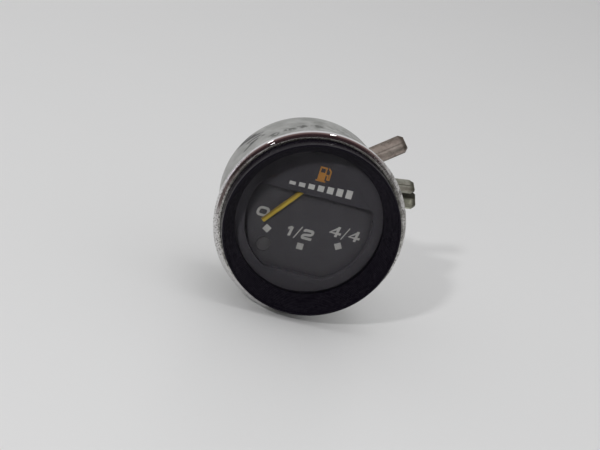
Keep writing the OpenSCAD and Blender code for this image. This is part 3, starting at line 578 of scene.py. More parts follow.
paintCommon = {
    "clouds": (160.0, 0.38, 0.66),
    "specks": (900.0, 0.10, 0.58),
    "speck": (0.4, 0.39, 0.37),
    # painted shade on faces that look sideways
    "wall": (0.008, 0.008, 0.009),
    "gathered": (0.006, 0.006, 0.007),
    # where painted light lifts the left of the mask
    "paintedLightSide": (-0.0165, -0.0215),
}

# edge values say where shade gathers: round an outer radius, above a lowest line, how wide and how much
paintValues = {
    "maskPaint": {"tone": (0.0455, 0.0438, 0.0492), "second": (0.0418, 0.0402, 0.0452), "rough": 0.62,
                  "edgeRadius": 0.0224, "edgeLow": -0.03, "edgeWidth": 0.0020, "edgeAmount": 0.10,
                  # the mask's recess wall gets painted light instead, as it lies in shade
                  "wall": (0.075, 0.072, 0.079), "paintedLightTone": (0.080, 0.076, 0.086)},
    "scalePaint": {"tone": (0.0572, 0.0556, 0.0604), "second": (0.0522, 0.0508, 0.0552), "rough": 0.66,
                   "edgeRadius": 0.0193, "edgeLow": -0.0170, "edgeWidth": 0.0028, "edgeAmount": 0.22},
    "greyCard": {"tone": (0.0100, 0.0086, 0.0130), "second": (0.0078, 0.0066, 0.0105), "rough": 0.85},
    "whitePrint": {"tone": (0.362, 0.362, 0.340), "second": (0.315, 0.315, 0.296), "rough": 0.55},
    "brightPrint": {"tone": (0.43, 0.43, 0.41), "second": (0.38, 0.38, 0.36), "rough": 0.55},
    "amberPrint": {"tone": (0.345, 0.165, 0.042), "second": (0.29, 0.134, 0.035), "rough": 0.55},
}


def gatheredShade(tree, here, look):
    # shade that gathers where the painted sheet meets the wall round it
    fromWall = minus(tree, look["edgeRadius"], fromAxis(tree, here))
    gap = maths(tree, "MINIMUM", fromWall, minus(tree, axes(tree, here)["Z"], look["edgeLow"]))
    return ramp(tree, gap, 0.0, look["edgeWidth"], look["edgeAmount"], 0.0)


def makePaint(name, look):
    # matt, a little uneven, with a fine tooth and rare specks of dust
    tree, shader, coords = startFinish(name, Specular_IOR_Level=0.10)
    here = coords["Object"]
    uneven = mottle(tree, here, *look["clouds"])
    colour = blend(tree, uneven, look["tone"], look["second"])
    facing = size(tree, axes(tree, coords["Normal"])["Y"])
    # painted shading on faces that look sideways: darker on most sheets, lighter on the mask's recess wall,
    # which lies in shade
    colour = blend(tree, ramp(tree, facing, 0.75, 0.35, 0.0, 0.5), colour, look["wall"])
    # painted light: the mask is lightened towards the left, where the visor's throat shades it
    if "paintedLightTone" in look:
        side = axes(tree, here)["X"]
        colour = blend(tree, ramp(tree, side, *look["paintedLightSide"], 0.0, 0.75), colour, look["paintedLightTone"])
    colour = blend(tree, times(tree, specks(tree, here, *look["specks"]), 0.25), colour, look["speck"])
    if "edgeRadius" in look:
        colour = blend(tree, gatheredShade(tree, here, look), colour, look["gathered"])
    rough = scaled(tree, grain(tree, here, 5200.0), 0.2, look["rough"] - 0.1)
    feed(tree, shader, colour, rough, height=uneven, strength=0.2)


# Finishes of the pointer, the glass and the reserve lens

needleHinge = {"pivot": Vector((0.0, 0.0, 0.0139)), "restAngle": math.radians(37.5)}

needleLook = {
    "yellow": (0.385, 0.285, 0.044),
    # edge is the darker tone of the clouds and of the painted shade on one half
    "edge": (0.125, 0.078, 0.020),
    "rubbed": (0.5, 0.46, 0.34),
    "clouds": (500.0, 0.4, 0.7),
    "worn": (0.0001, 0.5),
    "shadedHalf": (-0.00005, -0.00035),
}


def makeNeedlePaint(look, hinge):
    # yellow paint, with painted shade on the half that leans away from the light
    tree, shader, coords = startFinish("needleYellow", Specular_IOR_Level=0.12)
    here = coords["Object"]
    moved = put(tree, "VectorMath", {0: here, 1: hinge["pivot"]}, operation="SUBTRACT").outputs[0]
    turned = put(tree, "Mapping", {"Vector": moved, "Rotation": (0.0, -hinge["restAngle"], 0.0)}).outputs[0]
    shadowed = ramp(tree, axes(tree, turned)["X"], *look["shadedHalf"])
    uneven = mottle(tree, here, *look["clouds"])
    colour = blend(tree, times(tree, uneven, 0.25), look["yellow"], look["edge"])
    colour = blend(tree, times(tree, shadowed, 0.75), colour, look["edge"])
    colour = blend(tree, edgeWear(tree, here, *look["worn"]), colour, look["rubbed"])
    tooth = grain(tree, here, 4000.0)
    feed(tree, shader, colour, scaled(tree, tooth, 0.2, 0.4), height=tooth)


# the front glass bends light less than real glass does, or the pale floor would veil the dial
glassLook = {
    "tint": (0.98, 0.98, 0.985),
    "smear": (0.94, 0.94, 0.95),
    "smears": (90.0, 0.5, 0.75),
    "bends": {"frontClear": 1.06, "bulbClear": 1.5},
}


def makeGlass(name, look):
    tree, shader, coords = startFinish(name, Transmission_Weight=1.0, IOR=look["bends"][name], Metallic=0.0)
    smear = mottle(tree, coords["Object"], *look["smears"])
    colour = blend(tree, times(tree, smear, 0.3), look["tint"], look["smear"])
    feed(tree, shader, colour, times(tree, smear, 0.01))
    clear = put(tree, "BsdfTransparent", {"Color": (*look["tint"], 1.0)}).outputs[0]
    shadow = put(tree, "LightPath").outputs["Is Shadow Ray"]
    both = put(tree, "MixShader", {0: shadow, 1: shader.outputs[0], 2: clear}).outputs[0]
    out = [node for node in tree.nodes if node.type == "OUTPUT_MATERIAL"][0]
    tree.links.new(both, out.inputs["Surface"])


lensLook = {
    "dark": (0.034, 0.0322, 0.0345),
    "glow": (0.051, 0.0485, 0.0513),
    "swirls": (420.0, 0.35, 0.65),
    "grain": 1800.0,
}


def makeLens(look):
    plain = {"Coat_Weight": 0.3, "Coat_Roughness": 0.15, "Specular_IOR_Level": 0.3}
    tree, shader, coords = startFinish("lensSmoke", **plain)
    here = coords["Object"]
    colour = blend(tree, mottle(tree, here, *look["swirls"]), look["dark"], look["glow"])
    tooth = grain(tree, here, look["grain"])
    feed(tree, shader, colour, scaled(tree, tooth, 0.2, 0.25), height=tooth)


# Metals. On a terminal's blade, tip and shaded are places along and across it in metres, shaded being where
# a painted shadow lies, and seamDark says how dark its seam is

metalCommon = {
    "metallic": 1.0,
    "stretch": (1.0, 1.0, 1.0),
    "clouds": (260.0, 0.40, 0.62),
    "grimes": (520.0, 0.54, 0.70),
    "specks": (1700.0, 0.32, 0.50),
    "worn": (0.00022, 0.6, 1100.0),
    "rubbed": 1.3,  # how much paler a rubbed edge is, up to the next value
    "palest": 0.9,
}

tinCommon = {"metallic": 0.7, "rough": 0.42, "stretch": (1.0, 0.5, 1.0), "grain": 1500.0}

metalValues = {
    "contactTin": {**tinCommon, "pale": (0.37, 0.37, 0.318), "dull": (0.228, 0.228, 0.19),
                   "grimeAndShadowTone": (0.070, 0.068, 0.045), "metallic": 0.75, "dirt": 0.75},
    "senderTin": {**tinCommon, "pale": (0.53, 0.475, 0.425), "dull": (0.37, 0.323, 0.283),
                  "grimeAndShadowTone": (0.10, 0.082, 0.065), "dirt": 0.55, "tip": 0.0173, "seamDark": 0.25},
    "supplyTin": {**tinCommon, "pale": (0.37, 0.37, 0.318), "dull": (0.240, 0.242, 0.200),
                  "grimeAndShadowTone": (0.070, 0.070, 0.046), "dirt": 0.55, "tip": 0.0193, "seamDark": 0.75},
    # the earth blade gets a painted shadow on one half, where the supply blade shades it
    "earthTin": {**tinCommon, "pale": (0.56, 0.575, 0.47), "dull": (0.42, 0.435, 0.345),
                 "grimeAndShadowTone": (0.038, 0.036, 0.026), "dirt": 0.60, "tip": 0.0203, "seamDark": 0.5,
                 "shaded": (0.0031, 0.0072)},
    "studSteel": {"pale": (0.52, 0.52, 0.51), "dull": (0.33, 0.33, 0.32),
                  "grimeAndShadowTone": (0.09, 0.07, 0.05), "rough": 0.34, "stretch": (1.0, 0.25, 1.0),
                  "grain": 2200.0, "dirt": 0.5},
    "springSteel": {"pale": (0.36, 0.36, 0.365), "dull": (0.20, 0.20, 0.205),
                    "grimeAndShadowTone": (0.05, 0.04, 0.035), "rough": 0.38, "grain": 2200.0, "dirt": 0.45},
    "frameSteel": {"pale": (0.50, 0.51, 0.52), "dull": (0.36, 0.365, 0.37),
                   "grimeAndShadowTone": (0.12, 0.11, 0.09), "rough": 0.32, "stretch": (0.12, 1.0, 1.0),
                   "grain": 2000.0, "dirt": 0.2},
    "screwSteel": {"pale": (0.58, 0.58, 0.58), "dull": (0.42, 0.42, 0.42),
                   "grimeAndShadowTone": (0.12, 0.11, 0.10), "rough": 0.26, "grain": 2600.0, "dirt": 0.2},
    "turnedBrass": {"pale": (0.62, 0.46, 0.19), "dull": (0.42, 0.29, 0.11),
                    "grimeAndShadowTone": (0.12, 0.08, 0.04), "rough": 0.27, "stretch": (1.0, 0.15, 1.0),
                    "grain": 2400.0, "dirt": 0.25},
    "nutBrass": {"pale": (0.52, 0.43, 0.25), "dull": (0.30, 0.235, 0.125),
                 "grimeAndShadowTone": (0.08, 0.06, 0.035), "rough": 0.38, "grain": 1800.0, "dirt": 0.6},
    "lampBrass": {"pale": (0.53, 0.44, 0.26), "dull": (0.33, 0.26, 0.14),
                  "grimeAndShadowTone": (0.09, 0.065, 0.04), "rough": 0.34, "stretch": (1.0, 0.12, 1.0),
                  "grain": 2200.0, "dirt": 0.45},
    "bulbBrass": {"pale": (0.66, 0.52, 0.25), "dull": (0.50, 0.37, 0.16),
                  "grimeAndShadowTone": (0.16, 0.11, 0.06), "rough": 0.24, "stretch": (1.0, 0.2, 1.0),
                  "grain": 2600.0, "dirt": 0.2},
    "softIron": {"pale": (0.36, 0.36, 0.37), "dull": (0.24, 0.24, 0.245),
                 "grimeAndShadowTone": (0.10, 0.06, 0.04), "rough": 0.45, "grain": 1700.0, "dirt": 0.35},
}

bladeGrimeAndShadow = {
    "tipFrom": 0.0018, "tipTo": 0.0005, "tipAmount": 0.8,  # distances short of the tip
    "seamAt": 0.0033, "seamEdge": (0.00010, 0.00038),
    # the soft edge and strength of the painted shadow on one half
    "shadeSoft": 0.0006, "shadeAmount": 0.9,
}


def bladeMarksAndShadow(tree, look, marks):
    # grime at a blade's tip and in its folded seam, and a painted shadow over one half of its width, where
    # that half lies in the shade of the blade beside it
    along = put(tree, "Attribute", attribute_name="alongBlade").outputs["Fac"]
    across = put(tree, "Attribute", attribute_name="acrossBlade").outputs["Fac"]
    end = look["tip"]
    tip = ramp(tree, along, end - marks["tipFrom"], end - marks["tipTo"], 0.0, marks["tipAmount"])
    fromSeam = size(tree, minus(tree, across, marks["seamAt"]))
    grimeAndShadow = largest(tree, tip, ramp(tree, fromSeam, *marks["seamEdge"], look["seamDark"], 0.0))
    if "shaded" in look:
        half = between(tree, across, *look["shaded"], marks["shadeSoft"])
        grimeAndShadow = largest(tree, grimeAndShadow, times(tree, half, marks["shadeAmount"]))
    return grimeAndShadow


def makeMetal(name, look):
    # bare or plated metal: two tones in clouds, drawn grain, grime in patches and bright rubbed edges
    tree, shader, coords = startFinish(name, Metallic=look["metallic"])
    here = coords["Object"]
    colour = blend(tree, mottle(tree, here, *look["clouds"]), look["pale"], look["dull"])
    grimeAndShadow = largest(tree, mottle(tree, here, *look["grimes"]), specks(tree, here, *look["specks"]))
    grimeAndShadow = times(tree, grimeAndShadow, look["dirt"])
    # a terminal's blade adds grime at its tip and seam, and a painted shadow on one half
    if "tip" in look:
        grimeAndShadow = largest(tree, grimeAndShadow, bladeMarksAndShadow(tree, look, bladeGrimeAndShadow))
    colour = blend(tree, grimeAndShadow, colour, look["grimeAndShadowTone"])
    rubbed = tuple(min(part * look["rubbed"], look["palest"]) for part in look["pale"])
    colour = blend(tree, edgeWear(tree, here, *look["worn"]), colour, rubbed)
    tooth = grain(tree, here, look["grain"], look["stretch"])
    rough = scaled(tree, grimeAndShadow, 0.3, scaled(tree, tooth, 0.16, look["rough"] - 0.08), clamp=True)
    feed(tree, shader, colour, rough, height=tooth, bump=0.00002, strength=0.45)


# Plastics, paper board and wire

plasticCommon = {"clouds": (210.0, 0.40, 0.65), "dust": 0.22, "dustTone": (0.33, 0.32, 0.30)}

plasticValues = {
    "creamPlastic": {"tone": (0.70, 0.65, 0.52), "second": (0.60, 0.53, 0.39),
                     "rough": 0.42, "gloss": 0.5, "grain": 1500.0},
    "darkPhenolic": {"tone": (0.060, 0.045, 0.036), "second": (0.035, 0.027, 0.023),
                     "rough": 0.40, "gloss": 0.5, "grain": 1300.0},
    "blackRubber": {"tone": (0.018, 0.018, 0.018), "second": (0.030, 0.030, 0.030),
                    "rough": 0.75, "gloss": 0.3, "grain": 2600.0},
    "hubBlack": {"tone": (0.020, 0.020, 0.022), "second": (0.032, 0.032, 0.034),
                 "rough": 0.42, "gloss": 0.4, "grain": 1800.0},
}


def makePlastic(name, look):
    tree, shader, coords = startFinish(name, Specular_IOR_Level=look["gloss"])
    here = coords["Object"]
    colour = blend(tree, mottle(tree, here, *look["clouds"]), look["tone"], look["second"])
    colour = blend(tree, dust(tree, coords, look["dust"]), colour, look["dustTone"])
    tooth = grain(tree, here, look["grain"])
    rough = scaled(tree, tooth, 0.2, look["rough"] - 0.1)
    feed(tree, shader, colour, rough, height=tooth, bump=0.00002, strength=0.4)


boardLook = {
    "tan": (0.27, 0.135, 0.055),
    "dark": (0.12, 0.055, 0.024),
    "dustTone": (0.36, 0.33, 0.29),
    "plies": 5200.0,  # per metre
    "fibres": (1500.0, (1.0, 1.0, 0.10)),
    "stains": (170.0, 0.5, 0.7),
    "dust": 0.3,
}


def makeBoard(look):
    # paper board: plies show as thin lines on its edges, fibres and darker clouds on its faces
    tree, shader, coords = startFinish("paperBoard", Specular_IOR_Level=0.45)
    here = coords["Object"]
    fibres = grain(tree, here, *look["fibres"])
    colour = blend(tree, ramp(tree, fibres, 0.40, 0.64), look["dark"], look["tan"])
    plies = maths(tree, "SINE", times(tree, axes(tree, here)["Y"], look["plies"] * 2 * math.pi))
    facing = size(tree, axes(tree, coords["Normal"])["Y"])
    lines = times(tree, ramp(tree, plies, 0.2, 0.9), ramp(tree, facing, 0.7, 0.3))
    colour = blend(tree, times(tree, lines, 0.6), colour, look["dark"])
    colour = blend(tree, times(tree, mottle(tree, here, *look["stains"]), 0.5), colour, look["dark"])
    colour = blend(tree, dust(tree, coords, look["dust"]), colour, look["dustTone"])
    rough = scaled(tree, fibres, 0.25, 0.33)
    feed(tree, shader, colour, rough, height=minus(tree, fibres, lines), bump=0.00002, strength=0.45)


windingLook = {
    "copper": (0.62, 0.23, 0.085),
    # the dark tone of the painted shade between turns, also used for the clouds
    "shadow": (0.16, 0.05, 0.02),
    "pitch": 0.00034,
    "coilAngle": math.radians(45),
    "clouds": (330.0, 0.45, 0.7),
    "sides": {"windingLeft": -1, "windingRight": 1, "leadWire": 0},
}


def makeWinding(name, look):
    # enamelled wire: turns across the coil's axis, which leans to either side
    tree, shader, coords = startFinish(name, Metallic=0.85, Coat_Weight=0.5, Coat_Roughness=0.2)
    here = coords["Object"]
    lean = look["sides"][name] * (math.pi - look["coilAngle"])
    turned = put(tree, "Mapping", {"Vector": here, "Rotation": (0.0, -lean, 0.0)}).outputs[0]
    along = maths(tree, "DIVIDE", axes(tree, turned)["Z"], look["pitch"])
    turns = scaled(tree, noise(tree, here, 240.0, 2.0), 0.9, along)
    wave = size(tree, maths(tree, "SINE", times(tree, turns, math.pi)))
    # painted shade between the turns; the same dark tone also deepens the clouds
    colour = blend(tree, ramp(tree, wave, 0.0, 0.6), look["shadow"], look["copper"])
    cloudy = mottle(tree, here, *look["clouds"])
    colour = blend(tree, times(tree, cloudy, 0.35), colour, look["shadow"])
    feed(tree, shader, colour, scaled(tree, cloudy, 0.15, 0.26), height=wave, bump=0.00008, strength=0.7)


makeZinc(zincLook)
makeChrome(chromeLook)
makeVisorBlack(visorLook)
makeNeedlePaint(needleLook, needleHinge)
makeLens(lensLook)
makeBoard(boardLook)
for name, look in paintValues.items():
    makePaint(name, {**paintCommon, **look})
for name, look in metalValues.items():
    makeMetal(name, {**metalCommon, **look})
for name, look in plasticValues.items():
    makePlastic(name, {**plasticCommon, **look})
for name in glassLook["bends"]:
    makeGlass(name, glassLook)
for name in windingLook["sides"]:
    makeWinding(name, windingLook)
print("finishes made:", len(finishes))


# Shaping helpers

def finishPiece(name, bm, finish, body, node, sharp=32):
    # a bmesh becomes a piece, smooth with its sharp edges kept, that rides on a body and stands for a node
    mesh = bpy.data.meshes.new(name)
    bm.to_mesh(mesh)
    bm.free()
    mesh.shade_smooth()
    mesh.set_sharp_from_angle(angle=math.radians(sharp))
    mesh.materials.append(finishes[finish])
    piece = bpy.data.objects.new(name, mesh)
    scene.collection.objects.link(piece)
    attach(piece, body)
    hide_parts(node)
    return piece


def arcPoints(middle, radius, start, end, steps):
    points = []
    for step in range(steps + 1):
        turn = math.radians(start + (end - start) * step / steps)
        points.append((middle[0] + radius * math.cos(turn), middle[1] + radius * math.sin(turn)))
    return points


def spinProfile(bm, profile, steps, centre=(0.0, 0.0)):
    # turns a closed profile of (radius, depth) in millimetres about the gauge's axis or a line beside it
    x, z = centre[0] * mm, centre[1] * mm
    corners = [bm.verts.new((x + r * mm, y * mm, z)) for r, y in profile]
    sides = [bm.edges.new((a, b)) for a, b in zip(corners, corners[1:] + corners[:1])]
    bmesh.ops.spin(bm, geom=corners + sides, cent=(x, 0, z), axis=(0, 1, 0), angle=2 * math.pi,
                   steps=steps, use_merge=True, use_duplicate=False)


def cleanMesh(bm, near=1e-7):
    bmesh.ops.remove_doubles(bm, verts=bm.verts, dist=near)
    bmesh.ops.dissolve_degenerate(bm, dist=near, edges=bm.edges)
    bmesh.ops.recalc_face_normals(bm, faces=bm.faces)


def bevelSharp(bm, width, segments, angle):
    edges = [e for e in bm.edges if len(e.link_faces) == 2 and e.calc_face_angle(0) > math.radians(angle)]
    bmesh.ops.bevel(bm, geom=edges, offset=width * mm, offset_type="OFFSET", affect="EDGES",
                    segments=segments, profile=0.5, material=-1, clamp_overlap=True)


def copyNode(node):
    # a node's triangles, merged into a closed shell with its flat faces whole again
    bm = bmesh.new()
    bm.from_mesh(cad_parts[node].data)
    bmesh.ops.remove_doubles(bm, verts=bm.verts, dist=weld)
    bmesh.ops.dissolve_limit(bm, angle_limit=math.radians(0.4), verts=bm.verts, edges=bm.edges,
                             use_dissolve_boundaries=False, delimit=set())
    return bm


def softened(node, name, finish, body, width=0.08, segments=2, angle=40):
    # a copy of the node with its sharp edges rounded
    bm = copyNode(node)
    bevelSharp(bm, width, segments, angle)
    finishPiece(name, bm, finish, body, node)


# Bezel, visor and case. Shapes are in millimetres

bezelShape = {
    "lip": 26.85, "land": 0.35, "front": -2.6, "round": 1.6, "sheet": 0.6, "outer": 28.8, "edge": 0.35,
    "curl": 26.65, "flangeRear": -0.6, "flange": 27.95, "steps": 288, "sharp": 40,
}


def makeBezel(shape):
    lip, front, edge = shape["lip"], shape["front"], shape["edge"]
    middle = (lip + shape["land"], front + shape["round"])
    profile = [(lip, front)] + arcPoints(middle, shape["round"], -90, 0, 14)
    profile += arcPoints((shape["outer"] - edge, -edge), edge, 0, 90, 6)
    profile += [(shape["curl"], 0.0), (shape["curl"], shape["flangeRear"]),
                (shape["flange"], shape["flangeRear"])]
    profile += arcPoints(middle, shape["round"] - shape["sheet"], 0, -90, 10)
    profile += [(lip, front + shape["sheet"])]
    bm = bmesh.new()
    spinProfile(bm, profile, shape["steps"])
    cleanMesh(bm)
    finishPiece("bezelRim", bm, "chromeBezel", "case", "bezel", shape["sharp"])


visorShape = {
    "bore": 25.0, "seat": 0.15, "shoulder": 27.85, "shoulderRear": -1.4, "shoulderFront": -1.55,
    "neck": -1.95, "neckOut": 0.3, "side": 26.8, "rim": 26.45, "crest": -7.65, "lipRound": 0.35,
    "coneRim": 25.75, "coneFront": -7.1, "throat": 22.4, "throatRear": -0.35,
    "rings": 12, "ringFlat": 0.82, "ringNose": 0.25,  # the last two are parts of a ring's steps
    "steps": 288, "sharp": 34,
}


def makeVisor(shape):
    bore, shoulder, side, throat = (shape[name] for name in ("bore", "shoulder", "side", "throat"))
    middle = (shape["rim"] - shape["lipRound"], shape["crest"] + shape["lipRound"])
    profile = [(bore, shape["seat"]), (bore, shape["shoulderRear"]), (shoulder, shape["shoulderRear"]),
               (shoulder, shape["shoulderFront"]), (side + shape["neckOut"], shape["neck"]),
               (side, shape["neck"])]
    profile += arcPoints(middle, shape["lipRound"], 0, -180, 12)
    stepIn = (shape["coneRim"] - throat) / shape["rings"]
    stepBack = (shape["throatRear"] - shape["coneFront"]) / shape["rings"]
    for ring in range(shape["rings"]):
        radius = shape["coneRim"] - ring * stepIn
        depth = shape["coneFront"] + ring * stepBack
        profile += [(radius, depth), (radius, depth + stepBack * shape["ringFlat"]),
                    (radius - stepIn * shape["ringNose"], depth + stepBack)]
    profile += [(throat, shape["throatRear"]), (throat, shape["seat"])]
    bm = bmesh.new()
    spinProfile(bm, profile, shape["steps"])
    cleanMesh(bm)
    finishPiece("visorHood", bm, "visorBlack", "case", "visor_ring", shape["sharp"])


makeBezel(bezelShape)
makeVisor(visorShape)
softened("case_can", "caseShell", "zincCase", "case", width=0.12, segments=3, angle=50)
softened("mask_plate", "maskSheet", "maskPaint", "case", width=0.14, segments=3)
print("case, bezel and visor made")


# Numerals

numeralShape = {
    "height": 3.4, "stroke": 0.84, "slash": 0.36, "slant": 0.16, "front": 4.59, "rear": 4.65,
    # half of each figure's width and height, as parts of the full height
    "figures": {"0": (0.57, 0.47), "1": (0.5, 0.5), "2": (0.5, 0.5), "4": (0.56, 0.5)},
    "zeroRound": 1.3, "twoRound": 0.85,  # corners, in strokes
    "stem": 0.1, "slashReach": (0.58, 2.04), "sharp": 60,
    "groups": (  # the middle, each figure and its offset, and where the slash is
        ((-13.8, -1.1), (("0", 0.0),), None),
        ((-1.2, -4.8), (("1", -2.95), ("2", 2.45)), -0.60),
        ((12.2, -1.65), (("4", -3.05), ("4", 2.95)), 0.05),
    ),
}


def roundedPath(points, radius, closed=False, steps=5):
    # a polyline with its corners turned into short arcs
    count = len(points)
    path = []
    for index, point in enumerate(points):
        if not closed and index in (0, count - 1):
            path.append(point)
            continue
        here = Vector(point)
        before = Vector(points[index - 1]) - here
        after = Vector(points[(index + 1) % count]) - here
        reach = min(radius, before.length * 0.49, after.length * 0.49)
        first, last = here + before.normalized() * reach, here + after.normalized() * reach
        for step in range(steps + 1):
            t = step / steps
            path.append(tuple((1 - t) ** 2 * first + 2 * t * (1 - t) * here + t * t * last))
    return path


def strokeMesh(strokes, width):
    # round strokes along flat paths, each with whether it is closed
    curve = bpy.data.curves.new("strokes", "CURVE")
    curve.dimensions = "3D"
    curve.bevel_depth = width / 2
    curve.bevel_resolution = 3
    curve.use_fill_caps = True
    for points, closed in strokes:
        spline = curve.splines.new("POLY")
        spline.points.add(len(points) - 1)
        for target, (x, z) in zip(spline.points, points):
            target.co = (x, 0.0, z, 1.0)
        spline.use_cyclic_u = closed
    holder = bpy.data.objects.new("strokes", curve)
    scene.collection.objects.link(holder)
    bpy.context.view_layer.update()
    mesh = bpy.data.meshes.new_from_object(holder.evaluated_get(bpy.context.evaluated_depsgraph_get()))
    bpy.data.objects.remove(holder)
    bpy.data.curves.remove(curve)
    return mesh


def figureStrokes(figure, shape):
    # centre lines of a square, wide figure about its own middle
    height, line, stem = shape["height"], shape["stroke"], shape["stem"]
    wide, tall = shape["figures"][figure]
    w, h, top = height * wide - line / 2, height * tall - line / 2, height / 2
    if figure == "0":
        return [(roundedPath([(-w, -h), (w, -h), (w, h), (-w, h)], line * shape["zeroRound"], True), True)]
    if figure == "1":
        return [([(stem, -top), (stem, h)], False), ([(stem, h), (-height * 0.28, h * 0.42)], False)]
    if figure == "2":
        path = [(-w, h * 0.55), (-w, h), (w, h), (w, h * 0.08),
                (-w, -h * 0.25), (-w, -h), (w + line / 2, -h)]
        return [(roundedPath(path, line * shape["twoRound"]), False)]
    bar, upright = -h * 0.42, w * 0.42
    return [([(w + line / 2, bar), (-w, bar), (upright, h)], False),
            ([(upright, top), (upright, -top)], False)]


def flattened(mesh, shape, middle):
    # presses round strokes into the print's thickness, slants them and moves them to their place
    part = bmesh.new()
    part.from_mesh(mesh)
    deep = max(v.co.y for v in part.verts)
    level, half = (shape["front"] + shape["rear"]) / 2, (shape["rear"] - shape["front"]) / 2
    for vert in part.verts:
        x, y, z = vert.co
        place = (middle[0] + x + z * shape["slant"], level + y / deep * half, middle[1] + z)
        vert.co = Vector(place) * mm
    part.to_mesh(mesh)
    part.free()


def makeNumerals(shape):
    across, up = shape["slashReach"]
    bm = bmesh.new()
    for middle, figures, slashAt in shape["groups"]:
        strokes = []
        for figure, offset in figures:
            for points, closed in figureStrokes(figure, shape):
                strokes.append(([(x + offset, z) for x, z in points], closed))
        meshes = [strokeMesh(strokes, shape["stroke"])]
        if slashAt is not None:
            slash = [(slashAt - across, -up), (slashAt + across, up)]
            meshes.append(strokeMesh([(slash, False)], shape["slash"]))
        for mesh in meshes:
            flattened(mesh, shape, middle)
            bm.from_mesh(mesh)
            bpy.data.meshes.remove(mesh)
    bmesh.ops.recalc_face_normals(bm, faces=bm.faces)
    finishPiece("dialNumerals", bm, "whitePrint", "case", "scale_numerals", shape["sharp"])


# Pointer and reserve lens

needleShape = {"front": 3.45, "edge": 3.59, "slack": 0.05, "ridgeFrom": 2.5, "ridgeHalf": 0.4,
               "bevel": (0.05, 2, 40), "sharp": 20}  # a bevel's width, segments and least angle


def makeNeedle(shape, hinge):
    # the blade gets a shallow ridge down its middle
    bm = copyNode("needle")
    sine, cosine = math.sin(hinge["restAngle"]), math.cos(hinge["restAngle"])
    across, down = Vector((cosine, 0.0, -sine)), Vector((-sine, 0.0, -cosine))
    bmesh.ops.bisect_plane(bm, geom=bm.verts[:] + bm.edges[:] + bm.faces[:], dist=weld,
                           plane_co=hinge["pivot"], plane_no=across)
    for vert in bm.verts:
        away = vert.co - hinge["pivot"]
        onFace = vert.co.y < (shape["front"] + shape["slack"]) * mm
        onBlade = away.dot(down) > shape["ridgeFrom"] * mm
        if onFace and onBlade and abs(away.dot(across)) > shape["ridgeHalf"] * mm:
            vert.co.y = shape["edge"] * mm
    bevelSharp(bm, *shape["bevel"])
    finishPiece("pointerBlade", bm, "needleYellow", "pointer", "needle", shape["sharp"])


lensShape = {
    "at": (-10.9, -10.9), "radius": 2.2, "front": 4.4, "edge": 0.16,
    "crown": ((0.0, 0.0), (0.35, 0.01), (0.7, 0.04)),  # parts of the radius, and how far back
    "edgeBack": 0.24, "bridge": 5.25, "flange": 3.2, "rear": 5.65, "steps": 96, "sharp": 35,
}


def makeReserveLens(shape):
    radius, front, edge = shape["radius"], shape["front"], shape["edge"]
    profile = [(radius * part, front + back) for part, back in shape["crown"]]
    profile += arcPoints((radius - edge, front + shape["edgeBack"]), edge, -80, 0, 5)
    profile += [(radius, shape["bridge"]), (shape["flange"], shape["bridge"]),
                (shape["flange"], shape["rear"]), (0.0, shape["rear"])]
    bm = bmesh.new()
    spinProfile(bm, profile, shape["steps"], shape["at"])
    cleanMesh(bm, weld)
    finishPiece("reserveJewel", bm, "lensSmoke", "case", "reserve_lens", shape["sharp"])


makeNumerals(numeralShape)
makeNeedle(needleShape, needleHinge)
makeReserveLens(lensShape)
print("dial made")


# Studs, nuts and washers

studShape = {
    "places": (18.5, -18.5), "radius": 2.0, "root": 1.66, "front": 25.6, "threadFrom": 27.7,
    "threadTo": 37.5, "leadIn": 0.2, "leadOut": 0.1, "pilotFrom": 37.6, "pilot": 1.8, "end": 41.6,
    "edge": 0.5,
    "pitch": 0.7, "toothFoot": 0.32, "toothCrest": 0.06, "sunk": 0.05, "shy": 0.005, "turnSteps": 32,
    "steps": 64, "sharp": 25,
}


def makeStuds(shape):
    radius, root, pilot, edge = (shape[name] for name in ("radius", "root", "pilot", "edge"))
    start, pitch = shape["threadFrom"], shape["pitch"]
    turns = int((shape["threadTo"] - start - pitch) / pitch)
    steps = turns * shape["turnSteps"]
    inner, outer = root - shape["sunk"], radius - shape["shy"]
    foot, crest = shape["toothFoot"], shape["toothCrest"]
    bm = bmesh.new()
    for place in shape["places"]:
        profile = [(0.0, shape["front"]), (radius, shape["front"]), (radius, start),
                   (root, start + shape["leadIn"]), (root, shape["threadTo"] - shape["leadOut"]),
                   (pilot, shape["pilotFrom"]),
                   (pilot, shape["end"] - edge), (pilot - edge, shape["end"]), (0.0, shape["end"])]
        spinProfile(bm, profile, shape["steps"], (0.0, place))
        tooth = [(inner, -foot), (outer, -crest), (outer, crest), (inner, foot)]
        corners = [bm.verts.new((r * mm, (start + pitch / 2 + y) * mm, place * mm)) for r, y in tooth]
        bmesh.ops.spin(bm, geom=[bm.faces.new(corners)], cent=(0, 0, place * mm), axis=(0, 1, 0),
                       angle=turns * 2 * math.pi, steps=steps, dvec=(0, turns * pitch * mm / steps, 0),
                       use_duplicate=True)
    cleanMesh(bm)
    finishPiece("threadedStuds", bm, "studSteel", "case", "mounting_studs", shape["sharp"])


makeStuds(studShape)
softened("knurled_nut_top", "nutUpper", "nutBrass", "nut_top", width=0.07, angle=35)
softened("knurled_nut_bottom", "nutLower", "nutBrass", "nut_bottom", width=0.07, angle=35)
softened("flat_washers", "washersFlat", "studSteel", "case", width=0.1)
softened("lock_washers", "washersSplit", "springSteel", "case")
print("studs, nuts and washers made")


# Terminals and their board

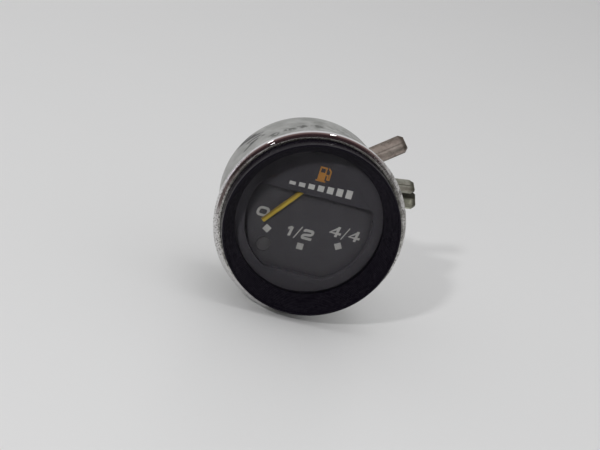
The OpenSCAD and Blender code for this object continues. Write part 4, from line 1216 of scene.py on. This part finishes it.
bladeShape = {
    "boardRear": 29.1, "thick": 0.8, "width": 6.6,
    "seamFrom": 4.0, "seamHalf": 0.16, "seamDeep": 0.08, "slack": 0.01,
    "bevel": (0.09, 2, 38), "sharp": 28,
    "blades": {  # the way it points, how far to one side, its tilt in degrees, and where it starts
        "sender": (39.1, -0.1, 51.9, 19.5),
        "supply": (8.0, 5.4, 72.0, 16.8),
        "earth": (8.0, 0.1, 50.9, 16.8),
    },
}


def bladeFrame(shape, spec):
    # the blade's own frame: X along it, Y across it, Z through its thickness
    direction, side, tilt, start = spec
    turn = Matrix.Rotation(math.radians(-direction), 4, "Y")
    place = Matrix.Translation((start * mm, shape["boardRear"] * mm, side * mm))
    lean = Matrix.Rotation(math.radians(90 - tilt), 4, "X")
    return turn @ place @ lean @ Matrix.Translation((0, 0, -shape["thick"] * mm))


def onBlade(bm, thick, slack):
    # the corners, edges and faces that lie within the blade's thickness
    faces = [f for f in bm.faces
             if all(-slack < v.co.z < thick + slack and v.co.y > -slack for v in f.verts)]
    edges = {e for f in faces for e in f.edges}
    return list({v for f in faces for v in f.verts}) + list(edges) + faces


def markBlade(piece, back):
    # how far along and across its blade each corner lies, which the blade's finish reads
    along = piece.data.attributes.new("alongBlade", "FLOAT", "POINT")
    across = piece.data.attributes.new("acrossBlade", "FLOAT", "POINT")
    toBlade = back.inverted()
    for vert, first, second in zip(piece.data.vertices, along.data, across.data):
        here = toBlade @ vert.co
        first.value, second.value = here.x, here.y


def makeBlade(name, spec, shape):
    # a folded strip: a seam runs down the middle of both faces
    node = name + "_terminal"
    thick, width, half, slack = (shape[part] * mm for part in ("thick", "width", "seamHalf", "slack"))
    middle = width / 2
    bm = copyNode(node)
    back = bladeFrame(shape, spec)
    bm.transform(back.inverted())
    for offset in (-half, 0.0, half):
        bmesh.ops.bisect_plane(bm, geom=onBlade(bm, thick, slack), dist=weld,
                               plane_co=(0, middle + offset, 0), plane_no=(0, 1, 0))
    for vert in bm.verts:
        x, y, z = vert.co
        if abs(y - middle) < weld and x > shape["seamFrom"] * mm and -slack < z < thick + slack:
            vert.co.z += shape["seamDeep"] * mm * (1 if z < thick / 2 else -1)
    bm.transform(back)
    bevelSharp(bm, *shape["bevel"])
    piece = finishPiece(name + "Blade", bm, name + "Tin", "case", node, shape["sharp"])
    markBlade(piece, back)


for name, spec in bladeShape["blades"].items():
    makeBlade(name, spec, bladeShape)
softened("terminal_board", "terminalBoard", "paperBoard", "case", width=0.1)
softened("terminal_rivets", "rivetHeads", "turnedBrass", "case", width=0.1, segments=3)
print("terminals made")


# Lamp holders

for lamp in ("dial", "reserve"):
    body = lamp + "_lamp"
    softened(body + "_shell", lamp + "LampShell", "lampBrass", body, width=0.09)
    softened(body + "_insulator", lamp + "LampPlug", "darkPhenolic", body,
             width=0.12, segments=3)
    softened(body + "_contact", lamp + "LampContact", "contactTin", body)
print("lamp holders made")


# Finishes of the nodes that stay as they are

nodeFinishes = {
    "front_glass": "frontClear", "glass_seal": "blackRubber", "spacer_ring": "greyCard",
    "pump_symbol": "amberPrint", "level_bars": "brightPrint", "scale_plate": "scalePaint",
    "scale_marks": "whitePrint", "light_tube": "creamPlastic", "base_plate": "frameSteel",
    "frame_pillars": "turnedBrass", "front_bridge": "frameSteel", "dial_screws": "screwSteel",
    "front_bush": "turnedBrass", "rear_bush": "turnedBrass", "bush_nut": "turnedBrass",
    "stop_pins": "screwSteel", "bobbin_left": "creamPlastic", "bobbin_right": "creamPlastic",
    "winding_left": "windingLeft", "winding_right": "windingRight", "core_left": "softIron",
    "core_right": "softIron", "coil_leads": "leadWire", "inner_insulator": "paperBoard",
    "spindle": "screwSteel", "armature": "softIron", "counterweight": "turnedBrass",
    "needle_hub": "hubBlack", "dial_bulb_cap": "bulbBrass", "reserve_bulb_cap": "bulbBrass",
    "dial_bulb_glass": "bulbClear", "reserve_bulb_glass": "bulbClear",
}


def dressNodes(choices):
    for node, finish in choices.items():
        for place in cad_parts[node].material_slots:
            place.link = "OBJECT"
            place.material = finishes[finish]


dressNodes(nodeFinishes)
print("nodes dressed:", len(nodeFinishes))
